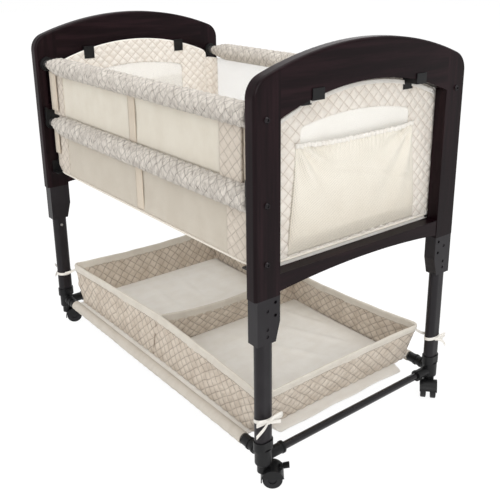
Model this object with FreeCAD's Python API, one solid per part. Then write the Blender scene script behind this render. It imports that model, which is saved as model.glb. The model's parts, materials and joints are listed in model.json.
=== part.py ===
import FreeCAD, Part
import math
import os
from FreeCAD import Vector

# Bedside sleeper crib: two arched wooden end panels stand on four oval legs with
# swivel casters. Padded rails carry a fabric nest, and a two-compartment storage
# basket hangs between the lower tubes. Millimetres, +Z up, floor at z = 0.
# +X points to the foot panel, -Y to the side that faces the adult bed.
# The origin is on the floor under the middle of the crib.

# End panels
panel_outer_x = 487.0
panel_thickness = 30.0
post_inner_y = 235.5
post_width = 61.0
post_bottom_z = 428.5
post_edge_round = 6.0
arch_apex_z = 902.0
arch_radius = 755.0
shoulder_radius = 45.0
opening_apex_z = 821.0
opening_radius = 604.0
lower_rail_top_z = 472.0
lower_rail_mid_height = 22.0
lower_rail_radius = 1996.0
lower_rail_recess = 1.0

# Legs, their sleeves and the buttons that lock them
leg_axis_y = 267.0
leg_depth = 26.5
leg_width = 39.0
leg_wall = 1.5
leg_bottom_z = 94.0
leg_top_gap = 0.3
sleeve_bottom_z = 332.5
sleeve_clearance = 0.25
sleeve_side_inset = 5.0
sleeve_chamfer_height = 42.0
sleeve_chamfer_width = 10.5
sleeve_hole_radius = 3.6
sleeve_hole_step = 20.0
sleeve_inner_holes = (57.0, 84.5)
sleeve_middle_holes = (16.0, 31.5, 70.5)
button_z = 312.0
button_radius = 3.8
button_clearance = 0.1
button_stand_out = 3.5
button_round = 2.3
button_flange_radius = 5.5
button_flange_thickness = 1.5

# Corner fittings and lower tubes
fitting_bottom_z = 51.0
fitting_radius = 18.0
fitting_foot_round = 4.0
collar_bottom_z = 88.0
collar_top_z = 108.5
collar_wall = 2.5
arm_radius = 12.0
arm_rib_radius = 13.5
arm_rib_width = 5.0
side_arm_length = 62.0
end_arm_length = 52.0
side_tube_z = 74.0
side_tube_radius = 9.5
end_tube_z = 66.4
end_tube_radius = 8.5
tube_wall = 1.2
tube_insertion = 30.0

# Casters
wheel_radius = 21.0
wheel_width = 13.5
wheel_round = 2.5
skirt_gap = 0.7
skirt_wall = 1.6
skirt_rise = 5.0
wheel_hub_radius = 9.0
wheel_hub_recess = 2.0
caster_trail = 19.0
caster_axle_radius = 3.0
caster_hub_radius = 6.0
web_half_width = 4.5
wheel_gap = 0.7
running_clearance = 0.05
hood_gap = 1.3
hood_wall = 2.2
hood_start_deg = 15.0
hood_end_deg = 190.0
stem_radius = 5.0
stem_top_z = 83.5
neck_radius = 13.0
neck_gap = 0.4
lever_pivot_deg = 50.0
lever_pivot_reach = 4.4
lever_knuckle_radius = 3.4
lever_pin_radius = 1.5
lever_half_width = 8.0
lever_length = 13.0
lever_thickness = 4.0
lever_tilt_deg = 10.0
ear_width = 2.5
ear_gap = 0.3

# Rails
rail_y = 268.0
rail_z = 775.0
mid_rail_z = 616.0
rail_tube_radius = 11.0
rail_tube_wall = 1.2
rail_pad_radius = 25.0
mid_pad_half_height = 28.5
pad_end_gap = 12.5
pad_taper = 24.0
pad_end_share = 0.72
pad_shoulder_share = 0.9
pad_shoulder_at = 0.3
flange_radius = 19.0
flange_thickness = 6.0
cap_gap = 0.3
guide_pin_radius = 3.5
guide_pin_length = 7.0
guide_clearance = 0.3
guide_depth = 8.0
rail_rest_gap = 0.5
rest_depth = 12.0
rest_half_width = 18.0
rest_clearance = 0.3
rest_lip_height = 8.0
bolt_head_radius = 6.5
bolt_head_height = 3.0
bolt_head_round = 1.8
bolt_radius = 3.0
bolt_length = 35.0
short_bolt_length = 20.0
spare_bolt_z = 500.0

# Nest: fabric walls, floor, mattress, pockets and clips
wall_thickness = 3.0
side_wall_y = 262.0
end_wall_gap = 6.0
end_wall_side_gap = 14.5
end_wall_rise = 4.0
end_wall_corner = 12.0
nest_bottom_z = 478.0
nest_corner = 40.0
floor_cloth = 2.0
floor_tube_radius = 6.0
floor_tube_inset = 8.0
floor_tube_wall = 1.0
floor_board_thickness = 6.0
mattress_end_gap = 20.0
mattress_side_gap = 18.5
mattress_thickness = 34.0
mattress_corner = 42.0
mattress_least_corner = 6.0
mattress_edge = (
    (0.0, 7.0), (0.22, 1.5), (0.45, 0.0), (0.65, 1.0), (0.82, 6.0), (0.94, 20.0), (1.0, 60.0)
)
soft_gap = 0.3
upper_strip_width = 60.0
lower_strip_width = 43.0
strip_thickness = 2.0
pocket_half_width = 180.0
pocket_bottom_gap = 14.0
pocket_top_z = 704.0
pocket_sag = 12.0
pocket_depth = 12.0
pocket_wall = 1.2
clip_y = 146.0
clip_half_width = 15.0
clip_drop = 22.0
clip_rise = 16.0
clip_top_gap = 1.0
clip_wall = 2.5
bracket_wall = 3.0
bracket_reach = 34.0
bracket_width = 32.0

# Storage basket
basket_bottom_z = 80.0
basket_rim_z = 188.0
basket_bottom_end_gap = 51.5
basket_bottom_side_gap = 18.0
basket_rim_end_gap = 24.0
basket_rim_side_gap = 19.0
basket_bow = (2.0, 3.0)
basket_rim_bow = (8.0, 24.0)
basket_wall = 5.0
basket_floor = 3.0
rim_band_height = 18.0
rim_band_proud = 1.5
divider_x = -10.0
divider_thickness = 6.0
divider_height = 100.0
divider_dip = 16.0
floor_board = 4.0
sling_thickness = 2.0
sling_sleeve_wall = 2.5
sling_end_clearance = 21.5
sling_arm_clearance = 10.0
sleeve_end_gap = 3.0
tie_z = 159.0
tie_height = 8.0
tie_thickness = 1.5
tie_gap = 0.2
tie_tail = 26.0
tie_tail_slopes = (0.35, -0.2)
tie_overlap = 2.0

# How far a cutting or joining form reaches past the surface that it meets, the
# length under which an edge counts as flat, and how far the middle of a rounded
# corner lies inside the square one, for each millimetre of its radius
margin = 1.0
flat_length = 0.01
round_inset = 1 - math.sqrt(0.5)

# Worked-out places that several pieces share
panel_inner_x = panel_outer_x - panel_thickness
leg_axis_x = panel_outer_x - panel_thickness / 2
post_outer_y = post_inner_y + post_width
leg_top_z = post_bottom_z - leg_top_gap
flange_face_x = panel_inner_x - flange_thickness
end_wall_outer_x = panel_inner_x - end_wall_gap
end_wall_half_width = side_wall_y - wall_thickness / 2 - end_wall_side_gap
mattress_half_length = end_wall_outer_x - wall_thickness - mattress_end_gap
mattress_half_width = side_wall_y - wall_thickness / 2 - mattress_side_gap
pocket_bottom_z = lower_rail_top_z + pocket_bottom_gap
pad_half_length = panel_inner_x - pad_end_gap
drop_travel = rail_z - mid_rail_z - mid_pad_half_height - rail_pad_radius - rail_rest_gap
lowered_rail_z = rail_z - drop_travel
wheel_inner_y = web_half_width + wheel_gap
hood_inner_radius = wheel_radius + hood_gap
hood_outer_radius = hood_inner_radius + hood_wall
wheel_outer_y = wheel_inner_y + wheel_width
hood_half_width = wheel_outer_y + skirt_gap + skirt_wall
floor_top_z = nest_bottom_z + floor_cloth
floor_board_z = floor_top_z + 2 * floor_tube_radius
mattress_z = floor_board_z + floor_board_thickness + soft_gap
basket_bottom_half = (
    leg_axis_x - end_tube_radius - basket_bottom_end_gap,
    leg_axis_y - side_tube_radius - sling_sleeve_wall - basket_bottom_side_gap,
)
basket_rim_half = (leg_axis_x - basket_rim_end_gap, leg_axis_y - basket_rim_side_gap)

corners = {
    "foot_front": (1, -1),
    "foot_back": (1, 1),
    "head_front": (-1, -1),
    "head_back": (-1, 1),
}
# The way each caster trails, as an angle from +X, as the wheels happen to stand
caster_angles = {
    "foot_front": 51.6,
    "foot_back": -50.5,
    "head_front": 64.8,
    "head_back": 230.5,
}
braked_corners = ("foot_front", "head_back")
ends = {"foot": 1, "head": -1}


def block(x0, x1, y0, y1, z0, z1):
    low = Vector(min(x0, x1), min(y0, y1), min(z0, z1))
    return Part.makeBox(abs(x1 - x0), abs(y1 - y0), abs(z1 - z0), low)


def rod(start, end, radius):
    start, end = Vector(*start), Vector(*end)
    return Part.makeCylinder(radius, (end - start).Length, start, end - start)


def pipe(start, end, radius, wall):
    return rod(start, end, radius).cut(rod(start, end, radius - wall))


def joined(shapes):
    first = shapes[0]
    return first.fuse(shapes[1:]).removeSplitter() if len(shapes) > 1 else first


def mirrored(shape, x_sign, y_sign):
    if x_sign < 0:
        shape = shape.mirror(Vector(0, 0, 0), Vector(1, 0, 0))
    if y_sign < 0:
        shape = shape.mirror(Vector(0, 0, 0), Vector(0, 1, 0))
    return shape


def line(a, b):
    return Part.makeLine(Vector(*a), Vector(*b))


def arc(a, via, b):
    return Part.Arc(Vector(*a), Vector(*via), Vector(*b)).toShape()


def stadium(x, y, depth, width, z0, z1):
    """An upright oval bar with flat faces across X and round ends along Y."""
    r = depth / 2
    straight = width / 2 - r
    low, high = y - straight, y + straight
    wire = Part.Wire([
        line((x - r, low, z0), (x - r, high, z0)),
        arc((x - r, high, z0), (x, high + r, z0), (x + r, high, z0)),
        line((x + r, high, z0), (x + r, low, z0)),
        arc((x + r, low, z0), (x, low - r, z0), (x - r, low, z0)),
    ])
    return Part.Face(wire).extrude(Vector(0, 0, z1 - z0))


def rounded_outline(half_x, half_y, r, z):
    s = r * round_inset
    edges = []
    quarters = ((1, 1), (-1, 1), (-1, -1), (1, -1))
    for i, (sx, sy) in enumerate(quarters):
        along_x = (sx * (half_x - r), sy * half_y, z)
        along_y = (sx * half_x, sy * (half_y - r), z)
        middle = (sx * (half_x - s), sy * (half_y - s), z)
        first, second = (along_y, along_x) if sx * sy > 0 else (along_x, along_y)
        edges.append(arc(first, middle, second))
        nx, ny = quarters[(i + 1) % 4]
        if sx * sy > 0:
            edges.append(line(second, (nx * (half_x - r), ny * half_y, z)))
        else:
            edges.append(line(second, (nx * half_x, ny * (half_y - r), z)))
    return Part.Wire(edges)


def rounded_plate(half_x, half_y, r, z0, z1):
    return Part.Face(rounded_outline(half_x, half_y, r, z0)).extrude(Vector(0, 0, z1 - z0))


def bowed_outline(half_x, half_y, bow_x, bow_y, z):
    """A rectangle whose four sides bow inwards at their middles."""
    a, b = (half_x, -half_y, z), (half_x, half_y, z)
    c, d = (-half_x, half_y, z), (-half_x, -half_y, z)
    return Part.Wire([
        arc(a, (half_x - bow_x, 0, z), b),
        arc(b, (0, half_y - bow_y, z), c),
        arc(c, (-half_x + bow_x, 0, z), d),
        arc(d, (0, -half_y + bow_y, z), a),
    ])


def arch_height(apex, radius, y):
    return apex - radius + math.sqrt(radius ** 2 - y ** 2)


# End panels

def panel_blank():
    """The outline of a whole end panel, with its outer edges rounded."""
    centre_z = arch_apex_z - arch_radius
    shoulder_y = post_outer_y - shoulder_radius
    reach = arch_radius - shoulder_radius
    shoulder_z = centre_z + math.sqrt(reach ** 2 - shoulder_y ** 2)
    turn = math.atan2(shoulder_y, shoulder_z - centre_z)
    meet = (arch_radius * math.sin(turn), centre_z + arch_radius * math.cos(turn))
    half_turn = (math.pi / 2 + turn) / 2
    knee = (
        shoulder_y + shoulder_radius * math.sin(half_turn),
        shoulder_z + shoulder_radius * math.cos(half_turn),
    )
    x, w, foot = panel_inner_x, post_outer_y, post_bottom_z
    wire = Part.Wire([
        line((x, -w, foot), (x, w, foot)),
        line((x, w, foot), (x, w, shoulder_z)),
        arc((x, w, shoulder_z), (x, knee[0], knee[1]), (x, meet[0], meet[1])),
        arc((x, meet[0], meet[1]), (x, 0, arch_apex_z), (x, -meet[0], meet[1])),
        arc((x, -meet[0], meet[1]), (x, -knee[0], knee[1]), (x, -w, shoulder_z)),
        line((x, -w, shoulder_z), (x, -w, foot)),
    ])
    blank = Part.Face(wire).extrude(Vector(panel_thickness, 0, 0))
    rim = []
    for edge in blank.Edges:
        box = edge.BoundBox
        if box.XLength < flat_length and box.ZMax > foot + margin:
            rim.append(edge)
    return blank.makeFillet(post_edge_round, rim)


def opening_tool():
    """What is cut out between the posts, between the lower rail and the arch."""
    x, w = panel_inner_x - margin, post_inner_y
    spring_z = arch_height(opening_apex_z, opening_radius, w)
    wire = Part.Wire([
        line((x, -w, lower_rail_top_z), (x, w, lower_rail_top_z)),
        line((x, w, lower_rail_top_z), (x, w, spring_z)),
        arc((x, w, spring_z), (x, 0, opening_apex_z), (x, -w, spring_z)),
        line((x, -w, spring_z), (x, -w, lower_rail_top_z)),
    ])
    return Part.Face(wire).extrude(Vector(panel_thickness + 2 * margin, 0, 0))


def end_panel_pieces():
    blank = panel_blank()
    x0, x1 = panel_inner_x - margin, panel_outer_x + margin
    top, w = arch_apex_z + margin, post_inner_y
    middle = block(x0, x1, -w, w, post_bottom_z - margin, top)
    posts = blank.cut(middle)
    posts = posts.cut(joined(bolt_shanks("post")))
    guide = block(
        x0, panel_inner_x + guide_depth,
        -rail_y - guide_pin_radius - guide_clearance,
        -rail_y + guide_pin_radius + guide_clearance,
        lowered_rail_z - guide_pin_radius - guide_clearance,
        rail_z + guide_pin_radius + guide_clearance,
    )
    posts = posts.cut(guide)
    arch = blank.common(block(x0, x1, -w, w, lower_rail_top_z + margin, top))
    arch = arch.cut(opening_tool())
    rail_low = lower_rail_top_z - lower_rail_mid_height
    end_low = arch_height(rail_low, lower_rail_radius, w)
    x, front = panel_inner_x, panel_outer_x - lower_rail_recess
    wire = Part.Wire([
        line((x, -w, lower_rail_top_z), (x, w, lower_rail_top_z)),
        line((x, w, lower_rail_top_z), (x, w, end_low)),
        arc((x, w, end_low), (x, 0, rail_low), (x, -w, end_low)),
        line((x, -w, end_low), (x, -w, lower_rail_top_z)),
    ])
    lower_rail = Part.Face(wire).extrude(Vector(front - x, 0, 0))
    return posts, arch, lower_rail


def bolt_places():
    """Height, y sign and shank length of each bolt through a foot post."""
    return [
        (rail_z, -1, short_bolt_length),
        (mid_rail_z, -1, bolt_length),
        (spare_bolt_z, -1, short_bolt_length),
        (rail_z, 1, bolt_length),
    ]


def bolt_shanks(what):
    """Shanks as cutting tools, or whole bolts with domed heads."""
    shapes = []
    for z, side, length in bolt_places():
        y = side * rail_y
        shank = rod((panel_outer_x, y, z), (panel_outer_x - length, y, z), bolt_radius)
        if what == "bolt":
            head = rod(
                (panel_outer_x, y, z), (panel_outer_x + bolt_head_height, y, z), bolt_head_radius
            )
            outer = [e for e in head.Edges if e.BoundBox.XMin > panel_outer_x + flat_length
                     and e.BoundBox.XLength < flat_length]
            head = head.makeFillet(bolt_head_round, outer)
            shank = joined([head, shank])
        shapes.append(shank)
    return shapes


# Legs, sleeves and buttons

def leg_tube():
    tube = stadium(leg_axis_x, leg_axis_y, leg_depth, leg_width, leg_bottom_z, leg_top_z)
    hollow = stadium(
        leg_axis_x, leg_axis_y, leg_depth - 2 * leg_wall, leg_width - 2 * leg_wall,
        leg_bottom_z, leg_top_z,
    )
    inner_face = leg_axis_x - leg_depth / 2
    hole = rod(
        (inner_face - margin, leg_axis_y, button_z), (leg_axis_x, leg_axis_y, button_z),
        button_radius + button_clearance,
    )
    return tube.cut(hollow).cut(hole)


def snap_button():
    face = leg_axis_x - leg_depth / 2
    tip = (face - button_stand_out, leg_axis_y, button_z)
    seat = (face + leg_wall, leg_axis_y, button_z)
    stem = rod(tip, seat, button_radius)
    rim = [e for e in stem.Edges
           if e.BoundBox.XMax < tip[0] + flat_length and e.BoundBox.XLength < flat_length]
    dome = stem.makeFillet(button_round, rim)
    flange_end = (seat[0] + button_flange_thickness, leg_axis_y, button_z)
    return joined([dome, rod(seat, flange_end, button_flange_radius)])


def leg_sleeve():
    inner, outer = post_inner_y, post_outer_y - sleeve_side_inset
    z0, z1 = sleeve_bottom_z, post_bottom_z
    x0, x1 = panel_inner_x, panel_outer_x
    profile = Part.makePolygon([
        Vector(x0, inner, z1), Vector(x0, outer, z1), Vector(x0, outer, z0),
        Vector(x0, inner + sleeve_chamfer_width, z0),
        Vector(x0, inner, z0 + sleeve_chamfer_height), Vector(x0, inner, z1),
    ])
    body = Part.Face(profile).extrude(Vector(x1 - x0, 0, 0))
    cavity = stadium(
        leg_axis_x, leg_axis_y, leg_depth + 2 * sleeve_clearance,
        leg_width + 2 * sleeve_clearance, z0 - margin, z1,
    )
    body = body.cut(cavity)
    holes = [(leg_axis_y, height) for height in sleeve_middle_holes]
    holes += [(leg_axis_y - sleeve_hole_step, height) for height in sleeve_inner_holes]
    for y, height in holes:
        z = z0 + height
        body = body.cut(rod((leg_axis_x, y, z), (x1 + margin, y, z), sleeve_hole_radius))
    return body


# Corner fittings and lower tubes

def corner_fitting():
    x, y = leg_axis_x, leg_axis_y
    post = rod((x, y, fitting_bottom_z), (x, y, collar_bottom_z + margin), fitting_radius)
    foot = [e for e in post.Edges
            if e.BoundBox.ZMax < fitting_bottom_z + flat_length
            and e.BoundBox.XLength > fitting_radius]
    post = post.makeFillet(fitting_foot_round, foot)
    collar = stadium(
        x, y, leg_depth + 2 * collar_wall, leg_width + 2 * collar_wall,
        collar_bottom_z, collar_top_z,
    )
    side_end, end_end = x - side_arm_length, y - end_arm_length
    pieces = [post, collar]
    pieces.append(rod((x, y, side_tube_z), (side_end, y, side_tube_z), arm_radius))
    pieces.append(rod((x, y, end_tube_z), (x, end_end, end_tube_z), arm_radius))
    for step in (fitting_radius + arm_rib_width, (side_arm_length + fitting_radius) / 2):
        pieces.append(rod((x - step, y, side_tube_z), (x - step - arm_rib_width, y, side_tube_z),
                          arm_rib_radius))
    pieces.append(rod((x, end_end + arm_rib_width, end_tube_z), (x, end_end, end_tube_z),
                      arm_rib_radius))
    body = joined(pieces)
    cavity = stadium(x, y, leg_depth, leg_width, leg_bottom_z, collar_top_z + margin)
    stem_hole = rod((x, y, fitting_bottom_z - margin), (x, y, stem_top_z + neck_gap),
                    stem_radius + running_clearance)
    side_bore = rod((side_end - margin, y, side_tube_z),
                    (side_end + tube_insertion, y, side_tube_z), side_tube_radius)
    end_bore = rod((x, end_end - margin, end_tube_z),
                   (x, end_end + tube_insertion, end_tube_z), end_tube_radius)
    return body.cut([cavity, stem_hole, side_bore, end_bore])


def side_tube():
    end = leg_axis_x - side_arm_length + tube_insertion
    return pipe((-end, leg_axis_y, side_tube_z), (end, leg_axis_y, side_tube_z),
                side_tube_radius, tube_wall)


def end_tube():
    end = leg_axis_y - end_arm_length + tube_insertion
    return pipe((leg_axis_x, -end, end_tube_z), (leg_axis_x, end, end_tube_z),
                end_tube_radius, tube_wall)


# Casters, in their own frame: stem on the origin, wheels trailing towards +X

def across(x, z, y0, y1, radius):
    return rod((x, y0, z), (x, y1, z), radius)


def lever_pivot():
    reach = hood_outer_radius + lever_pivot_reach
    turn = math.radians(lever_pivot_deg)
    return caster_trail + reach * math.cos(turn), wheel_radius + reach * math.sin(turn)


def hood_sector(inner, outer, half_width):
    """A ring round the axle, over the span of angles that the hood covers."""
    def spot(radius, degrees):
        turn = math.radians(degrees)
        return (
            caster_trail + radius * math.cos(turn), -half_width,
            wheel_radius + radius * math.sin(turn),
        )

    a, b = hood_start_deg, hood_end_deg
    middle = (a + b) / 2
    wire = Part.Wire([
        arc(spot(outer, a), spot(outer, middle), spot(outer, b)),
        line(spot(outer, b), spot(inner, b)),
        arc(spot(inner, b), spot(inner, middle), spot(inner, a)),
        line(spot(inner, a), spot(outer, a)),
    ])
    return Part.Face(wire).extrude(Vector(0, 2 * half_width, 0))


def lever_ears():
    """Two ears on the hood, and the pin between them that the brake lever turns on."""
    px, pz = lever_pivot()
    turn = math.radians(lever_pivot_deg)
    root = hood_inner_radius + hood_wall / 2
    rx = caster_trail + root * math.cos(turn)
    rz = wheel_radius + root * math.sin(turn)
    nx = -math.sin(turn) * lever_knuckle_radius
    nz = math.cos(turn) * lever_knuckle_radius
    inner = web_half_width + ear_gap
    outer = inner + ear_width
    pieces = [across(px, pz, -outer, outer, lever_pin_radius)]
    for y in (-outer, inner):
        strut = Part.Face(Part.makePolygon([
            Vector(rx + nx, y, rz + nz), Vector(px + nx, y, pz + nz),
            Vector(px - nx, y, pz - nz), Vector(rx - nx, y, rz - nz),
            Vector(rx + nx, y, rz + nz),
        ])).extrude(Vector(0, ear_width, 0))
        pieces.append(joined([strut, across(px, pz, y, y + ear_width, lever_knuckle_radius)]))
    return pieces


def caster_housing(braked):
    neck_top = fitting_bottom_z - neck_gap
    neck_low = wheel_radius + hood_inner_radius / 2
    stem = rod((0, 0, neck_low), (0, 0, stem_top_z), stem_radius)
    neck = rod((0, 0, neck_low), (0, 0, neck_top), neck_radius)
    space = across(caster_trail, wheel_radius, -hood_half_width, hood_half_width,
                   hood_inner_radius)
    hood = hood_sector(hood_inner_radius, hood_outer_radius, hood_half_width)
    web = hood_sector(caster_axle_radius, hood_inner_radius + hood_wall / 2, web_half_width)
    hub = across(caster_trail, wheel_radius, -web_half_width, web_half_width,
                 caster_hub_radius)
    pieces = [hood, joined([neck, stem]).cut(space), web, hub]
    for side in (-1, 1):
        y0 = side * (hood_half_width - skirt_wall)
        disc = across(caster_trail, wheel_radius, y0, side * hood_half_width, hood_outer_radius)
        above = block(caster_trail - hood_outer_radius, caster_trail + hood_outer_radius,
                      -hood_half_width, hood_half_width,
                      wheel_radius + skirt_rise, wheel_radius + hood_outer_radius)
        pieces.append(disc.common(above))
    if braked:
        pieces += lever_ears()
    body = joined(pieces)
    reach = web_half_width + margin
    bore = across(caster_trail, wheel_radius, -reach, reach,
                  caster_axle_radius + running_clearance)
    return body.cut(bore)


def caster_wheels():
    """Two wheels and their axle, as three solids."""
    y0, y1 = wheel_inner_y, wheel_outer_y
    wheel = across(caster_trail, wheel_radius, y0, y1, wheel_radius)
    rims = [e for e in wheel.Edges if e.BoundBox.YLength < flat_length]
    wheel = wheel.makeFillet(wheel_round, rims)
    hub = across(caster_trail, wheel_radius, y1 - wheel_hub_recess, y1 + margin,
                 wheel_hub_radius)
    wheel = wheel.cut(hub)
    axle_end = y1 - wheel_hub_recess
    axle = across(caster_trail, wheel_radius, -axle_end, axle_end, caster_axle_radius)
    wheel = wheel.cut(axle)
    other = wheel.mirror(Vector(0, 0, 0), Vector(0, 1, 0))
    return Part.makeCompound([wheel, other, axle])


def brake_lever():
    px, pz = lever_pivot()
    knuckle = across(px, pz, -web_half_width, web_half_width, lever_knuckle_radius)
    t = lever_thickness / 2
    root = lever_knuckle_radius + 2 * ear_gap
    arm = block(px, px + root + margin, -web_half_width, web_half_width, pz - t, pz + t)
    pad = block(px + root, px + root + lever_length, -lever_half_width, lever_half_width,
                pz - t, pz + t)
    lever = joined([knuckle, arm, pad])
    lever = lever.rotated(Vector(px, 0, pz), Vector(0, -1, 0), lever_tilt_deg)
    reach = web_half_width + margin
    return lever.cut(across(px, pz, -reach, reach, lever_pin_radius + running_clearance))


def at_caster(shape, name):
    x_sign, y_sign = corners[name]
    turned = shape.rotated(Vector(0, 0, 0), Vector(0, 0, 1), caster_angles[name])
    return turned.translated(Vector(x_sign * leg_axis_x, y_sign * leg_axis_y, 0))


# Rails

def oval_wire(x, y, z, half_y, half_z):
    """An oval on the plane at x, upright or lying, whichever way it is longer."""
    curve = Part.Ellipse(Vector(0, 0, 0), max(half_y, half_z), min(half_y, half_z))
    wire = Part.Wire([curve.toShape()])
    if half_y > half_z:
        wire = wire.rotated(Vector(0, 0, 0), Vector(0, 0, 1), 90)
    wire = wire.rotated(Vector(0, 0, 0), Vector(0, 1, 0), -90)
    return wire.translated(Vector(x, y, z))


def rail_pad_form(y, z, half_y, half_z):
    """The outer form of a padded rail: full along its length, drawn in at its ends."""
    end = pad_half_length
    shoulder = end - pad_shoulder_at * pad_taper
    sections = ((end, pad_end_share), (shoulder, pad_shoulder_share), (end - pad_taper, 1.0))
    places = [(-x, s) for x, s in sections] + [(x, s) for x, s in reversed(sections)]
    wires = [oval_wire(x, y, z, half_y * s, half_z * s) for x, s in places]
    return Part.makeLoft(wires, True, True)


def rail_pad(y, z, half_y, half_z):
    end = pad_half_length + margin
    return rail_pad_form(y, z, half_y, half_z).cut(
        rod((-end, y, z), (end, y, z), rail_tube_radius)
    )


def rail_tube(y, z, end):
    return pipe((-end, y, z), (end, y, z), rail_tube_radius, rail_tube_wall)


def flange(x_sign, y, z):
    disc = rod((x_sign * flange_face_x, y, z), (x_sign * panel_inner_x, y, z), flange_radius)
    depth = bolt_length - panel_thickness
    hole = rod((x_sign * (panel_inner_x - depth), y, z),
               (x_sign * (panel_inner_x + margin), y, z), bolt_radius)
    return disc.cut(hole)


def rail_rest(x_sign):
    """The cradle over the middle rail's flange, where the lowered rail comes to lie."""
    y = -rail_y
    x0, x1 = x_sign * (panel_inner_x - rest_depth), x_sign * panel_inner_x
    top = lowered_rail_z - flange_radius + rest_lip_height
    body = block(x0, x1, y - rest_half_width, y + rest_half_width, mid_rail_z, top)
    low, high = x_sign * (panel_inner_x - rest_depth - margin), x_sign * (panel_inner_x + margin)
    seat = rod((low, y, lowered_rail_z), (high, y, lowered_rail_z), flange_radius + rest_clearance)
    under = rod((low, y, mid_rail_z), (high, y, mid_rail_z), flange_radius)
    body = body.cut([seat, under])
    pad = rail_pad_form(y, mid_rail_z, rail_pad_radius, mid_pad_half_height)
    upper = block(x0, x1, y - rest_half_width, y + rest_half_width,
                  mid_rail_z + flange_radius - rest_lip_height, top)
    return body.cut(pad).common(upper)


def drop_cap(x_sign):
    """An end cap of the rail that drops, with the pin that runs in the post's guide."""
    y, z = -rail_y, rail_z
    face = panel_inner_x - cap_gap
    disc = rod((x_sign * (face - flange_thickness), y, z), (x_sign * face, y, z), flange_radius)
    pin = rod((x_sign * (face - margin), y, z),
              (x_sign * (panel_inner_x + guide_pin_length), y, z), guide_pin_radius)
    return joined([disc, pin])


# Nest

def wall_outline(y, z_top):
    """A side wall's face on the plane at y, with its lower corners rounded off."""
    end, low, r = end_wall_outer_x - wall_thickness, floor_top_z, nest_corner
    s = r * round_inset
    return Part.Wire([
        line((-end + r, y, low), (end - r, y, low)),
        arc((end - r, y, low), (end - s, y, low + s), (end, y, low + r)),
        line((end, y, low + r), (end, y, z_top)),
        line((end, y, z_top), (-end, y, z_top)),
        line((-end, y, z_top), (-end, y, low + r)),
        arc((-end, y, low + r), (-end + s, y, low + s), (-end + r, y, low)),
    ])


def side_wall(y_sign, z_top):
    """A flat fabric wall with the narrow returns that meet the end walls."""
    t = wall_thickness
    y = y_sign * side_wall_y - t / 2
    shapes = [Part.Face(wall_outline(y, z_top)).extrude(Vector(0, t, 0))]
    end = end_wall_outer_x - t
    inner = side_wall_y - t / 2
    for x_sign in (-1, 1):
        shapes.append(block(
            x_sign * (end - t), x_sign * end, y_sign * end_wall_half_width,
            y_sign * (inner + margin),
            floor_top_z + nest_corner, z_top,
        ))
    return joined(shapes)


def quilted_strips(width, z0, z1):
    """The upright strips sewn on the outside of the front wall, one at each end."""
    y = -side_wall_y - wall_thickness / 2 - strip_thickness
    sheet = Part.Face(wall_outline(y, z1)).extrude(Vector(0, strip_thickness, 0))
    end = end_wall_outer_x - wall_thickness
    return [
        sheet.common(block(sign * (end - width), sign * end, y, y + strip_thickness, z0, z1))
        for sign in (-1, 1)
    ]


def front_walls():
    """The wall under the middle rail, and the slack one between the two rails."""
    y = -rail_y
    whole = side_wall(-1, rail_z)
    mid_pad = rail_pad_form(y, mid_rail_z, rail_pad_radius, mid_pad_half_height)
    top_pad = rail_pad_form(y, rail_z, rail_pad_radius + soft_gap, rail_pad_radius + soft_gap)
    reach = end_wall_outer_x
    top_tube = rod((-reach, y, rail_z), (reach, y, rail_z), flange_radius + soft_gap)
    mid_tube = rod((-reach, y, mid_rail_z), (reach, y, mid_rail_z), flange_radius)
    rests = [rail_rest(sign) for sign in (-1, 1)]
    high = block(-reach, reach, -post_outer_y, 0, mid_rail_z, rail_z)
    low = block(-reach, reach, -post_outer_y, 0, nest_bottom_z, mid_rail_z)
    strips_low = quilted_strips(lower_strip_width, floor_top_z, mid_rail_z)
    strips_high = quilted_strips(upper_strip_width, mid_rail_z, rail_z)
    lower = joined([whole.common(low)] + strips_low).cut([mid_pad, mid_tube])
    upper = joined([whole.common(high)] + strips_high)
    upper = upper.cut([mid_pad, top_pad, top_tube, mid_tube] + rests)
    return lower, upper


def back_wall():
    y = rail_y
    pad = rail_pad_form(y, rail_z, rail_pad_radius, rail_pad_radius)
    reach = end_wall_outer_x
    tube = rod((-reach, y, rail_z), (reach, y, rail_z), flange_radius)
    return side_wall(1, rail_z).cut([pad, tube])


def end_wall():
    x, w, r = end_wall_outer_x - wall_thickness, end_wall_half_width, end_wall_corner
    low, apex = floor_top_z, opening_apex_z + end_wall_rise
    s = r * round_inset
    shoulder = arch_height(apex, opening_radius, w)
    wire = Part.Wire([
        line((x, -w + r, low), (x, w - r, low)),
        arc((x, w - r, low), (x, w - s, low + s), (x, w, low + r)),
        line((x, w, low + r), (x, w, shoulder)),
        arc((x, w, shoulder), (x, 0, apex), (x, -w, shoulder)),
        line((x, -w, shoulder), (x, -w, low + r)),
        arc((x, -w, low + r), (x, -w + s, low + s), (x, -w + r, low)),
    ])
    return Part.Face(wire).extrude(Vector(wall_thickness, 0, 0))


def mesh_pocket():
    """A shallow pocket on the outside of the end wall; its elastic top dips."""
    x0, x1 = end_wall_outer_x, end_wall_outer_x + pocket_depth
    w, t, low, high = pocket_half_width, pocket_wall, pocket_bottom_z, pocket_top_z
    wire = Part.Wire([
        line((x0, -w, low), (x0, w, low)),
        line((x0, w, low), (x0, w, high)),
        arc((x0, w, high), (x0, 0, high - pocket_sag), (x0, -w, high)),
        line((x0, -w, high), (x0, -w, low)),
    ])
    outer = Part.Face(wire).extrude(Vector(pocket_depth, 0, 0))
    return outer.cut(block(x0 - margin, x1 - t, -w + t, w - t, low + t, high + margin))


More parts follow.
